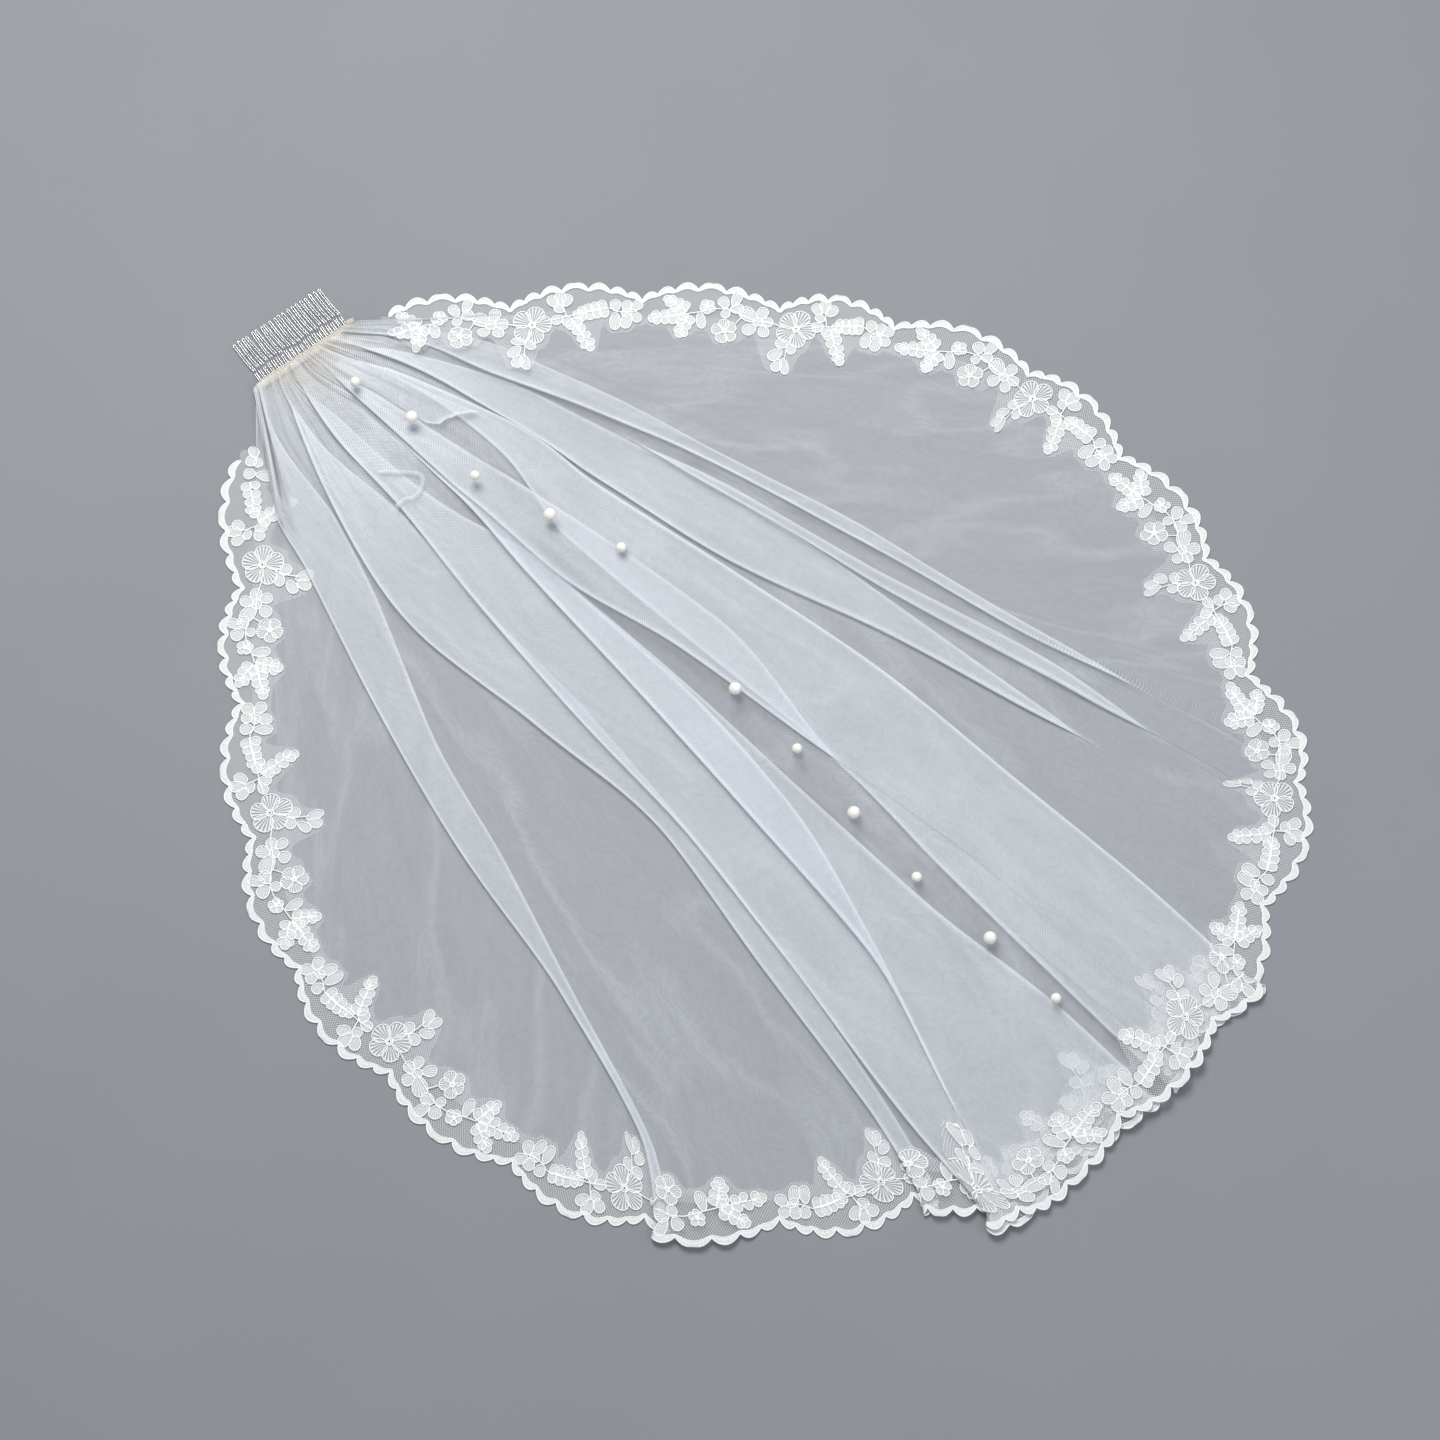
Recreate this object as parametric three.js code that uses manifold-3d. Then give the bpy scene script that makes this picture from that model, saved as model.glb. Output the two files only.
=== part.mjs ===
// Lace bridal veil lying on a floor: folded net, corded lace border, wire comb, sewn pearls.
// Millimetres. X runs to the right of the laid veil, Y away from the viewer, Z up, floor at Z = 0.
import * as THREE from 'three';
import { mergeVertices } from 'three/addons/utils/BufferGeometryUtils.js';
import Module from 'manifold-3d';

const wasm = await Module();
wasm.setup();
const { Manifold, Mesh: SolidMesh } = wasm;

// Sizes
const CLOTH = 1.0;            // wall of the net and of the lace ground
const STACK = 2.0;            // height from one folded layer to the next
const GAP = 0.3;              // clearance between two pieces
const SEAM = { middle: 1.2, ends: 4, blend: 16 };   // clearance along the inner edge of the lace
const LACE = { width: 64, wholeTo: 198, wholeFrom: 442, blend: 14 };   // fan degrees
const NET = { first: 216, last: 424 };   // fan degrees that the net fills
const SCALLOP = { big: 13, small: 2.6, perBig: 7, cell: 30 };   // bulges; small ones per big one
const GATHER = { rise: 1.4, reach: 0.24, period: 6 };           // pleats of the gathered edge
const RELIEF = { rise: 0.8, root: 0.35, flower: 15, petals: 5, leaf: [24, 9] };

const COMB = { centre: [-348, 326], turn: 36.5, width: 80, teeth: 20, spineRadius: 1.2,
  spineY: -3, z: 1.7 };
const TOOTH = { length: 38, legs: 2.3, wire: 0.45, kinkAt: 0.3, kinkSide: 0.9, kinkRise: 0.8 };
const HEADER = { near: -7.6, far: 0, low: 3.2, high: 6.4, puckers: 16, bow: 2, overhang: 4, reach: 9 };

// The fan
// Every ray of the fan starts on the gathered edge and ends on the hem. The fan angle is the
// bearing of the ray's hem point, in degrees round the veil's middle, from the left lace end
// down the left side, along the near hem, up the right side and back over the top.
const GATHERED_EDGE = [new THREE.Vector2(-384, 300), new THREE.Vector2(-312, 352)];
const HEM = [
  { fan: 147, radius: 460 }, { fan: 160.5, radius: 409 }, { fan: 173, radius: 384.5 },
  { fan: 188.5, radius: 373 }, { fan: 204.5, radius: 365 }, { fan: 220.5, radius: 349 },
  { fan: 238.5, radius: 340 }, { fan: 255.5, radius: 340 }, { fan: 271.5, radius: 331 },
  { fan: 288, radius: 330 }, { fan: 300, radius: 360 }, { fan: 307, radius: 363 },
  { fan: 319.5, radius: 366 }, { fan: 331, radius: 371 }, { fan: 343.5, radius: 371 },
  { fan: 358, radius: 385 }, { fan: 371, radius: 360 }, { fan: 386, radius: 363 },
  { fan: 402, radius: 358.5 }, { fan: 417, radius: 367 }, { fan: 434, radius: 360 },
  { fan: 448, radius: 361 }, { fan: 464, radius: 380 }, { fan: 478, radius: 409 },
  { fan: 490, radius: 456 },
];
const FIRST = HEM[0].fan;
const LAST = HEM[HEM.length - 1].fan;

// Fan angles at which two big scallops meet.
const CUSPS = [147, 160.5, 173, 188.5, 204.5, 220.5, 238.5, 255.5, 271.5, 288, 306.5, 319.5,
  343.5, 358, 371, 386, 402, 417, 434, 448, 464, 478, 490];

// Each pleat is a Z of three layers between its left and right edge. The rows give both edges
// as fan angles at these stations, counted from the comb (0) to the hem (1). Where left is
// larger than right, the pleat has opened out and the net is single. An "over" pleat has its
// right-hand side on top, an "under" pleat its left-hand side.
const STATIONS = [0.02, 0.08, 0.20, 0.30, 0.45, 0.60, 0.75, 0.90, 1.00];
const PLEATS = [
  { name: 'a', lies: 'over', left: [222, 221, 222, 226, 237, 249.5, 258, 260, 257],
    right: [217, 219, 240, 249.5, 253, 256.5, 259.3, 261.5, 259] },
  { name: 'b', lies: 'over', left: [236, 240, 249, 258, 281, 292, 291, 290, 289],
    right: [231, 250, 284, 291.5, 298.5, 296.5, 294, 291.8, 291] },
  { name: 'c', lies: 'over', left: [266, 272, 286, 289, 291, 296, 297, 296, 296],
    right: [260, 288, 306, 316, 317, 318, 318, 319, 318] },
  { name: 'd', lies: 'over', left: [292, 316, 315, 311, 307.5, 306.5, 306.5, 309, 310],
    right: [286, 314, 317.5, 317, 316, 313.5, 306, 304, 305] },
  { name: 'e', lies: 'over', left: [322, 320, 317.5, 317.5, 324, 326, 327, 326, 326],
    right: [317, 335, 337, 337.5, 336, 326.8, 323, 322, 322] },
  { name: 'f', lies: 'under', left: [366, 362, 348, 330.5, 327.5, 326.5, 323, 321, 320],
    right: [360, 368, 364, 353, 348.5, 345.5, 341, 337.5, 335] },
  { name: 'g', lies: 'over', left: [390, 384, 366, 355.5, 351, 352, 351.5, 353, 353],
    right: [384, 396, 390, 379, 369, 358, 352.5, 349, 349] },
  { name: 'h', lies: 'over', left: [412, 406, 392, 380, 368, 359.5, 357, 356.5, 357],
    right: [406, 402, 388, 377, 371.5, 363, 359.7, 355, 353.5] },
  { name: 'i', lies: 'over', left: [422, 420, 391, 382, 375.5, 369, 362.5, 361.5, 361.5],
    right: [418, 424, 420, 401, 381, 373.3, 364.6, 359.5, 357.5] },
];

const PEARLS = [   // place on the fan and diameter, from the comb to the hem
  { fan: 328.5, at: 0.06, size: 8 }, { fan: 332.3, at: 0.122, size: 10 },
  { fan: 326.1, at: 0.202, size: 8 }, { fan: 331.7, at: 0.278, size: 10 },
  { fan: 337, at: 0.348, size: 8 }, { fan: 323.8, at: 0.505, size: 10 },
  { fan: 322.4, at: 0.58, size: 8 }, { fan: 320.1, at: 0.654, size: 10 },
  { fan: 318.9, at: 0.731, size: 8 }, { fan: 319.1, at: 0.812, size: 10 },
  { fan: 318.8, at: 0.887, size: 8 },
];

const PEARL_LIFT = 0.9;       // over the cloth, whose facets slope a little

const lerp = THREE.MathUtils.lerp;
const clamp = THREE.MathUtils.clamp;
const radians = THREE.MathUtils.degToRad;
const ease = (x) => THREE.MathUtils.smoothstep(x, 0, 1);

// Cubic through the table's values, with no overshoot at its peaks.
function curve(xs, ys, x) {
  if (x <= xs[0]) return ys[0];
  const last = xs.length - 1;
  if (x >= xs[last]) return ys[last];
  let i = 0;
  while (x > xs[i + 1]) i++;
  const rise = (k) => (ys[k + 1] - ys[k]) / (xs[k + 1] - xs[k]);
  const slope = (k) => {
    if (k === 0) return rise(0);
    if (k === last) return rise(last - 1);
    const before = rise(k - 1);
    const after = rise(k);
    return before * after <= 0 ? 0 : (2 * before * after) / (before + after);
  };
  const span = xs[i + 1] - xs[i];
  const u = (x - xs[i]) / span;
  const v = 1 - u;
  return ys[i] * (1 + 2 * u) * v * v + ys[i + 1] * u * u * (3 - 2 * u)
    + span * (slope(i) * u * v * v - slope(i + 1) * u * u * v);
}

const HEM_FANS = HEM.map((row) => row.fan);
const HEM_RADII = HEM.map((row) => row.radius);

function hemPoint(fan) {
  const r = curve(HEM_FANS, HEM_RADII, fan);
  return new THREE.Vector2(r * Math.cos(radians(fan)), r * Math.sin(radians(fan)));
}

function combPoint(fan) {
  return GATHERED_EDGE[0].clone().lerp(GATHERED_EDGE[1], (fan - FIRST) / (LAST - FIRST));
}

// Unit vector square to the hem, into the veil.
function inward(fan) {
  const along = hemPoint(fan + 0.5).sub(hemPoint(fan - 0.5)).normalize();
  return new THREE.Vector2(-along.y, along.x);
}

// Rays are straight. Beside the comb they lie along the hem, inside the lace, so the lace takes
// them whole, and the net takes the rays between its own first and last one.
const rayLength = (fan) => combPoint(fan).distanceTo(hemPoint(fan));
const fanPoint = (fan, at) => combPoint(fan).lerp(hemPoint(fan), at);

// The cloth begins at one distance from the gathered edge, where the header ends.
function sheetStart(fan) {
  const line = GATHERED_EDGE[1].clone().sub(GATHERED_EDGE[0]).normalize();
  const away = hemPoint(fan).sub(combPoint(fan));
  return HEADER.reach / (away.x * line.y - away.y * line.x);
}

// Cosine of the angle between a ray and the square across the hem.
function squareness(fan) {
  const ray = combPoint(fan).sub(hemPoint(fan)).normalize();
  return Math.max(0.05, ray.dot(inward(fan)));
}

function laceStart(fan) {
  const full = 1 - LACE.width / (rayLength(fan) * squareness(fan));
  const fromEnds = Math.min(fan - LACE.wholeTo, LACE.wholeFrom - fan);
  return Math.max(sheetStart(fan), full * ease(fromEnds / LACE.blend));
}

// Plan millimetres for one degree of fan, at a station.
function degreeLength(fan, at) {
  return fanPoint(fan - 0.5, at).distanceTo(fanPoint(fan + 0.5, at));
}

// Unit vector across the rays, towards larger fan angles.
function across(fan, at) {
  return fanPoint(fan + 0.5, at).sub(fanPoint(fan - 0.5, at)).normalize();
}

// The folded sheet
const left = (k, at) => curve(STATIONS, PLEATS[k].left, at);
const right = (k, at) => curve(STATIONS, PLEATS[k].right, at);

// Fold edges in the order in which the cloth runs through them: right edge, then left edge.
function edge(index, at, ends = [FIRST, LAST]) {
  if (index < 0) return ends[0];
  if (index >= 2 * PLEATS.length) return ends[1];
  const k = Math.floor(index / 2);
  return index % 2 === 0 ? right(k, at) : left(k, at);
}
const PANELS = 2 * PLEATS.length + 1;     // panel j runs from edge j - 1 to edge j

// 1 where the pleat is folded, falling to 0 as it opens out. The last trace of a fold is left
// out, so that no layers lie a hair apart.
function folded(k, at) {
  const middle = (left(k, at) + right(k, at)) / 2;
  const overlap = (right(k, at) - left(k, at)) * degreeLength(middle, at);
  const share = ease((overlap + 10) / 10);
  return share < 0.02 ? 0 : share;
}

// How much pleat k lifts what lies on it, at one place.
function cover(k, fan, at) {
  const margin = (4 + 28 * at) / degreeLength(fan, at);
  const beyond = Math.max(left(k, at) - fan, fan - right(k, at));
  return folded(k, at) * (1 - ease((beyond - margin) / margin));
}

// Height of the middle of a panel's wall.
function layerHeight(panel, fan, at) {
  let layers = 0;
  PLEATS.forEach((pleat, k) => {
    const middlePanel = 2 * k + 1;
    const above = pleat.lies === 'over' ? panel > middlePanel : panel < middlePanel;
    const share = panel === middlePanel ? 1 : above ? 2 : 0;
    layers += share * cover(k, fan, at);
  });
  return CLOTH / 2 + STACK * layers;
}

// Topmost cloth at a place, for what is sewn on it.
function topHeight(fan, at) {
  let top = 0;
  for (let panel = 0; panel < PANELS; panel++) {
    const ends = [edge(panel - 1, at), edge(panel, at)];
    const reach = 6 / degreeLength(fan, at);
    if (fan < Math.min(...ends) - reach || fan > Math.max(...ends) + reach) continue;
    top = Math.max(top, layerHeight(panel, fan, at) + CLOTH / 2);
  }
  return top;
}

// Columns of the sheet's mesh. A panel has cells of two small scallops each; a fold edge has
// two columns of its own, round the turn.
function columns(...ends) {
  const list = [];
  for (let panel = 0; panel < PANELS; panel++) {
    const span = Math.abs(edge(panel, 1, ends) - edge(panel - 1, 1, ends));
    const cells = Math.max(1, Math.round((span * 6.4) / SCALLOP.cell));
    for (let i = 0; i <= cells; i++) list.push({ panel, ends, share: i / cells });
    if (panel < PANELS - 1) {
      for (const turn of [1 / 3, 2 / 3]) list.push({ panel, ends, share: 1, turn });
    }
  }
  return list;
}

// Middle of the wall at a column: place along the fan's cross-section, and height.
function middleOf(column, at) {
  const { panel, ends, share, turn } = column;
  const fan = lerp(edge(panel - 1, at, ends), edge(panel, at, ends), share);
  const z = layerHeight(panel, fan, at);
  if (turn === undefined) return { fan, out: 0, z };
  const k = Math.floor(panel / 2);
  const next = layerHeight(panel + 1, fan, at);
  const overlap = (right(k, at) - left(k, at)) * degreeLength(fan, at);
  const bulge = (Math.abs(next - z) / 2) * clamp(overlap / 4, 0, 1);
  const angle = Math.PI * (turn - 0.5);
  const side = panel % 2 === 0 ? 1 : -1;
  return { fan, out: side * bulge * Math.cos(angle), z: (z + next) / 2 + ((next - z) / 2) * Math.sin(angle) };
}

// Top and bottom vertex of the wall at each column of one row. atOf gives the station on a ray.
function wallRow(list, atOf, gatherOf) {
  const middles = list.map((column, i) => {
    let [low, high] = [0, 1];
    for (let pass = 0; pass < 24; pass++) {
      const middle = (low + high) / 2;
      if (middle < atOf(middleOf(column, middle).fan)) low = middle;
      else high = middle;
    }
    const at = high;
    const place = middleOf(column, at);
    const plan = fanPoint(place.fan, at).addScaledVector(across(place.fan, at), place.out);
    return new THREE.Vector3(plan.x, plan.y, place.z + gatherOf(i, at));
  });
  return middles.map((point, i) => {
    const apart = (other) => other.distanceTo(point) > 0.01;
    const before = middles.slice(0, i).findLast(apart) ?? point;
    const after = middles.slice(i + 1).find(apart) ?? point;
    const travel = new THREE.Vector3().subVectors(point, before).normalize()
      .add(new THREE.Vector3().subVectors(after, point).normalize());
    const place = middleOf(list[i], 0.5);
    const side = across(place.fan, 0.5);
    const along = travel.x * side.x + travel.y * side.y;
    const normal = new THREE.Vector3(-travel.z * side.x, -travel.z * side.y, along).normalize();
    return {
      top: point.clone().addScaledVector(normal, CLOTH / 2),
      bottom: point.clone().addScaledVector(normal, -CLOTH / 2),
    };
  });
}

// Collects triangles and gives one closed, merged geometry.
class Skin {
  constructor() { this.points = []; }

  triangle(a, b, c) { this.points.push(a, b, c); }

  quad(a, b, c, d) { this.triangle(a, b, c); this.triangle(a, c, d); }

  geometry() {
    const geometry = new THREE.BufferGeometry().setFromPoints(this.points);
    const merged = mergeVertices(geometry, 1e-3);
    merged.computeVertexNormals();
    return merged;
  }
}

// Joins two rows of unlike lengths, each cell of the coarse row having its own fine points.
function stripBetween(skin, coarse, fine, flip) {
  const face = (a, b, c) => (flip ? skin.triangle(a, c, b) : skin.triangle(a, b, c));
  for (let i = 0; i + 1 < coarse.length; i++) {
    const cell = fine[i];
    const middle = Math.floor((cell.length - 1) / 2);
    for (let k = 0; k + 1 < cell.length; k++) face(coarse[k < middle ? i : i + 1], cell[k], cell[k + 1]);
    face(coarse[i], cell[middle], coarse[i + 1]);
  }
}

// Tulle
const COLUMNS = columns(FIRST, LAST);
const NET_COLUMNS = columns(NET.first, NET.last);
const gather = (i, at) => {
  const wave = (1 - Math.cos((2 * Math.PI * i) / GATHER.period)) / 2;
  return GATHER.rise * wave * ease(1 - at / GATHER.reach);
};

function tulleGeometry() {
  const rows = [0, 0.07, 0.16, 0.30, 0.48, 0.70, 1];
  const clearance = (fan) => {
    const fromEnds = Math.min(fan - NET.first, NET.last - fan) / SEAM.blend;
    return lerp(SEAM.ends, SEAM.middle, ease(fromEnds));
  };
  const end = (fan) => laceStart(fan) - clearance(fan) / (rayLength(fan) * squareness(fan));
  const grid = rows.map((share) => wallRow(NET_COLUMNS,
    (fan) => lerp(sheetStart(fan), end(fan), share), gather));
  return closedSheet(grid);
}

// Columns of an opened-out fold edge lie on one another and share their vertices.
function closedSheet(grid) {
  const skin = new Skin();
  const lastRow = grid.length - 1;
  const lastColumn = grid[0].length - 1;
  for (let r = 0; r < lastRow; r++) {
    for (let i = 0; i < lastColumn; i++) {
      const [a, b, c, d] = [grid[r][i], grid[r + 1][i], grid[r + 1][i + 1], grid[r][i + 1]];
      skin.quad(a.top, b.top, c.top, d.top);
      skin.quad(d.bottom, c.bottom, b.bottom, a.bottom);
    }
    for (const [i, flip] of [[0, false], [lastColumn, true]]) {
      const [a, b] = [grid[r][i], grid[r + 1][i]];
      if (flip) skin.quad(a.top, b.top, b.bottom, a.bottom);
      else skin.quad(a.top, a.bottom, b.bottom, b.top);
    }
  }
  for (let i = 0; i < lastColumn; i++) {
    let [a, d] = [grid[0][i], grid[0][i + 1]];
    skin.quad(a.top, d.top, d.bottom, a.bottom);
    [a, d] = [grid[lastRow][i], grid[lastRow][i + 1]];
    skin.quad(a.top, a.bottom, d.bottom, d.top);
  }
  return skin.geometry();
}

// Lace
// Bulge of the hem beyond the line through its cusps.
function scallopBulge(fan) {
  const next = CUSPS.findIndex((cusp) => cusp > fan);
  if (next < 1) return 0;
  const share = (fan - CUSPS[next - 1]) / (CUSPS[next] - CUSPS[next - 1]);
  return SCALLOP.big * Math.sin(Math.PI * share) ** 0.7
    + SCALLOP.small * Math.sin(Math.PI * ((share * SCALLOP.perBig) % 1));
}

function laceSolid() {
  const outerSteps = 6;     // hem segments in one cell, three to a small scallop
  const fineColumns = [];
  for (let i = 0; i + 1 < COLUMNS.length; i++) {
    const [a, b] = [COLUMNS[i], COLUMNS[i + 1]];
    const flat = a.panel === b.panel && a.turn === undefined && b.turn === undefined;
    const steps = flat ? outerSteps : 1;
    for (let s = 0; s < steps; s++) {
      fineColumns.push(flat ? { ...a, share: lerp(a.share, b.share, s / steps) } : a);
    }
  }
  fineColumns.push(COLUMNS[COLUMNS.length - 1]);

  const flatRow = () => 0;
  const inner = wallRow(COLUMNS, laceStart, flatRow);
  const middle = wallRow(COLUMNS, (fan) => lerp(laceStart(fan), 1, 0.72), flatRow);
  const hem = wallRow(fineColumns, () => 1, flatRow);
  hem.forEach((point, i) => {
    // Scallops flatten out beside the comb, where the rays run along the hem.
    const place = middleOf(fineColumns[i], 1);
    const inwards = inward(place.fan);
    const bulge = scallopBulge(place.fan) * ease(squareness(place.fan) / 0.45);
    for (const vertex of [point.top, point.bottom]) {
      vertex.x -= inwards.x * bulge;
      vertex.y -= inwards.y * bulge;
    }
  });

  const cells = [];
  let start = 0;
  for (let i = 0; i + 1 < COLUMNS.length; i++) {
    const flat = COLUMNS[i].panel === COLUMNS[i + 1].panel
      && COLUMNS[i].turn === undefined && COLUMNS[i + 1].turn === undefined;
    const steps = flat ? outerSteps : 1;
    cells.push([start, start + steps]);
    start += steps;
  }

  const skin = new Skin();
  for (const side of ['top', 'bottom']) {
    const flip = side === 'bottom';
    const fine = cells.map(([from, to]) => hem.slice(from, to + 1).map((v) => v[side]));
    stripBetween(skin, middle.map((v) => v[side]), fine, flip);
    for (let i = 0; i + 1 < COLUMNS.length; i++) {
      const [a, b, c, d] = [inner[i][side], middle[i][side], middle[i + 1][side], inner[i + 1][side]];
      if (flip) skin.quad(d, c, b, a);
      else skin.quad(a, b, c, d);
    }
  }
  for (let i = 0; i + 1 < hem.length; i++) {
    skin.quad(hem[i].top, hem[i].bottom, hem[i + 1].bottom, hem[i + 1].top);
  }
  for (let i = 0; i + 1 < inner.length; i++) {
    skin.quad(inner[i].top, inner[i + 1].top, inner[i + 1].bottom, inner[i].bottom);
  }
  const capRows = [[inner, middle], [middle, hem]];
  for (const [a, b] of capRows) {
    skin.quad(a[0].top, a[0].bottom, b[0].bottom, b[0].top);
    const [c, d] = [a[a.length - 1], b[b.length - 1]];
    skin.quad(c.top, d.top, d.bottom, c.bottom);
  }
  return solidFrom(skin.geometry());
}

function solidFrom(geometry) {
  return new Manifold(new SolidMesh({
    numProp: 3,
    vertProperties: new Float32Array(geometry.attributes.position.array),
    triVerts: new Uint32Array(geometry.index.array),
  }));
}

function geometryFrom(solid) {
  const mesh = solid.getMesh();
  const positions = new Float32Array((mesh.vertProperties.length / mesh.numProp) * 3);
  for (let i = 0; i < positions.length / 3; i++) {
    for (let axis = 0; axis < 3; axis++) {
      positions[3 * i + axis] = mesh.vertProperties[mesh.numProp * i + axis];
    }
  }
  const geometry = new THREE.BufferGeometry();
  geometry.setAttribute('position', new THREE.BufferAttribute(positions, 3));
  geometry.setIndex(new THREE.BufferAttribute(new Uint32Array(mesh.triVerts), 1));
  geometry.computeVertexNormals();
  return geometry;
}

// Raised ornaments: a round-petalled flower and a pointed leaf, as outlines round their middle.
function flowerOutline() {
  const points = [];
  for (let i = 0; i < 2 * RELIEF.petals; i++) {
    const r = RELIEF.flower * (i % 2 === 0 ? 1 : 0.55);
    const angle = (Math.PI * i) / RELIEF.petals;
    points.push(new THREE.Vector2(r * Math.cos(angle), r * Math.sin(angle)));
  }
  return points;
}

function leafOutline() {
  const [length, width] = RELIEF.leaf;
  return [[-1, 0], [-0.3, -1], [0.4, -0.7], [1, 0], [0.4, 0.7], [-0.3, 1]]
    .map(([x, y]) => new THREE.Vector2((x * length) / 2, (y * width) / 2));
}

function ornament(outline, fan, inwards, top) {
  const at = 1 - inwards / rayLength(fan);
  const place = fanPoint(fan, at);
  const ray = inward(fan);
  const geometry = new THREE.ExtrudeGeometry(new THREE.Shape(outline),
    { depth: RELIEF.root + RELIEF.rise, bevelEnabled: false, steps: 1 });
  geometry.deleteAttribute('normal');
  geometry.deleteAttribute('uv');
  geometry.rotateZ(Math.atan2(ray.y, ray.x));
  geometry.translate(place.x, place.y, top - RELIEF.root);
  return solidFrom(mergeVertices(geometry, 1e-3));
}

// Flowers and leaves take turns along the hem, on single cloth only.
function laceGeometry() {
  let solid = laceSolid();
  const flower = flowerOutline();
  const leaf = leafOutline();
  const step = 8;
  for (let fan = FIRST + 12, i = 0; fan < LAST - 14; fan += step, i++) {
    const [outline, inwards, reach] = i % 2 === 0 ? [flower, 26, 5] : [leaf, 40, 3];
    const near = [-reach, 0, reach].map((turn) => topHeight(fan + turn, 0.94));
    if (Math.max(...near) > CLOTH + 1e-6) continue;
    solid = solid.add(ornament(outline, fan, inwards, CLOTH));
  }
  return geometryFrom(solid.simplify(0.01));
}

// Gathered header
function headerGeometry() {
  const skin = new Skin();
  const steps = 2 * HEADER.puckers;
  const half = COMB.width / 2 + HEADER.overhang;
  const sections = [];
  for (let i = 0; i <= steps; i++) {
    const along = lerp(-half, half, i / steps);
    const bow = HEADER.bow * (1 - (along / half) ** 2);
    const pucker = i % 2 === 0 ? 0 : 0.7;
    const taper = i === 0 || i === steps ? 0.6 : 1;
    const middle = (HEADER.near + HEADER.far) / 2;
    const [near, far] = [HEADER.near, HEADER.far].map((out) => lerp(middle, out, taper));
    sections.push([
      [near, HEADER.low], [far + bow - pucker, HEADER.low],
      [far + bow - pucker - 0.6, HEADER.high - 1.2], [(near + far) / 2, HEADER.high - pucker],
      [near + 0.4, HEADER.high - 1.4],
    ].map(([out, z]) => new THREE.Vector3(along, out, z)));
  }
  for (let i = 0; i < steps; i++) {
    const [a, b] = [sections[i], sections[i + 1]];
    a.forEach((_, k) => {
      const next = (k + 1) % a.length;
      skin.quad(a[next], b[next], b[k], a[k]);
    });
  }
  for (let k = 1; k + 1 < sections[0].length; k++) {
    skin.triangle(sections[0][0], sections[0][k + 1], sections[0][k]);
    skin.triangle(sections[steps][0], sections[steps][k], sections[steps][k + 1]);
  }
  return skin.geometry();
}

// Comb
// One hairpin of wire: up one leg with its kink, round the closed tip and back.
function toothGeometry() {
  const { length, legs, wire, kinkAt, kinkSide, kinkRise } = TOOTH;
  const half = legs / 2;
  const leg = (side) => [
    [side * half, 0, 0],
    [side * half + kinkSide * 0.2, length * (kinkAt - 0.06), 0],
    [side * half + kinkSide, length * (kinkAt + 0.02), kinkRise],
    [side * half, length * (kinkAt + 0.12), kinkRise],
    [side * half, length - half, 0],
  ];
  const path = [
    ...leg(-1), [-half * 0.6, length - 0.25, 0], [half * 0.6, length - 0.25, 0], ...leg(1).reverse(),
  ].map((p) => new THREE.Vector3(...p));
  return wireAlong(path, wire, 5);
}

// A round wire through a chain of points, mitred at each, closed at both ends.
function wireAlong(path, radius, sides) {
  const skin = new Skin();
  const rings = path.map((point, i) => {
    const before = path[Math.max(0, i - 1)];
    const after = path[Math.min(path.length - 1, i + 1)];
    const travel = new THREE.Vector3().subVectors(point, before).normalize()
      .add(new THREE.Vector3().subVectors(after, point).normalize()).normalize();
    const up = new THREE.Vector3(0, 0, 1);
    const side = new THREE.Vector3().crossVectors(up, travel).normalize();
    const rise = new THREE.Vector3().crossVectors(travel, side);
    return Array.from({ length: sides }, (_, k) => {
      const angle = (2 * Math.PI * k) / sides;
      return point.clone().addScaledVector(side, radius * Math.cos(angle))
        .addScaledVector(rise, radius * Math.sin(angle));
    });
  });
  for (let i = 0; i + 1 < rings.length; i++) {
    rings[i].forEach((_, k) => {
      const next = (k + 1) % sides;
      skin.quad(rings[i][k], rings[i][next], rings[i + 1][next], rings[i + 1][k]);
    });
  }
  const lastRing = rings[rings.length - 1];
  for (let k = 1; k + 1 < sides; k++) {
    skin.triangle(rings[0][0], rings[0][k + 1], rings[0][k]);
    skin.triangle(lastRing[0], lastRing[k], lastRing[k + 1]);
  }
  return skin.geometry();
}

// Assembly
const MATERIALS = {
  tulle: new THREE.MeshStandardMaterial({ color: 0xe9eef2, roughness: 0.8, metalness: 0 }),
  lace: new THREE.MeshStandardMaterial({ color: 0xf7f7f5, roughness: 0.75, metalness: 0 }),
  binding: new THREE.MeshStandardMaterial({ color: 0xe8e1d3, roughness: 0.7, metalness: 0 }),
  wire: new THREE.MeshStandardMaterial({ color: 0xb9bbbd, roughness: 0.25, metalness: 1 }),
  pearl: new THREE.MeshStandardMaterial({ color: 0xf6f1e8, roughness: 0.22, metalness: 0 }),
};

function named(name, geometry, material) {
  const mesh = new THREE.Mesh(geometry, material);
  mesh.name = name;
  return mesh;
}

const number = (i) => String(i + 1).padStart(2, '0');

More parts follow.
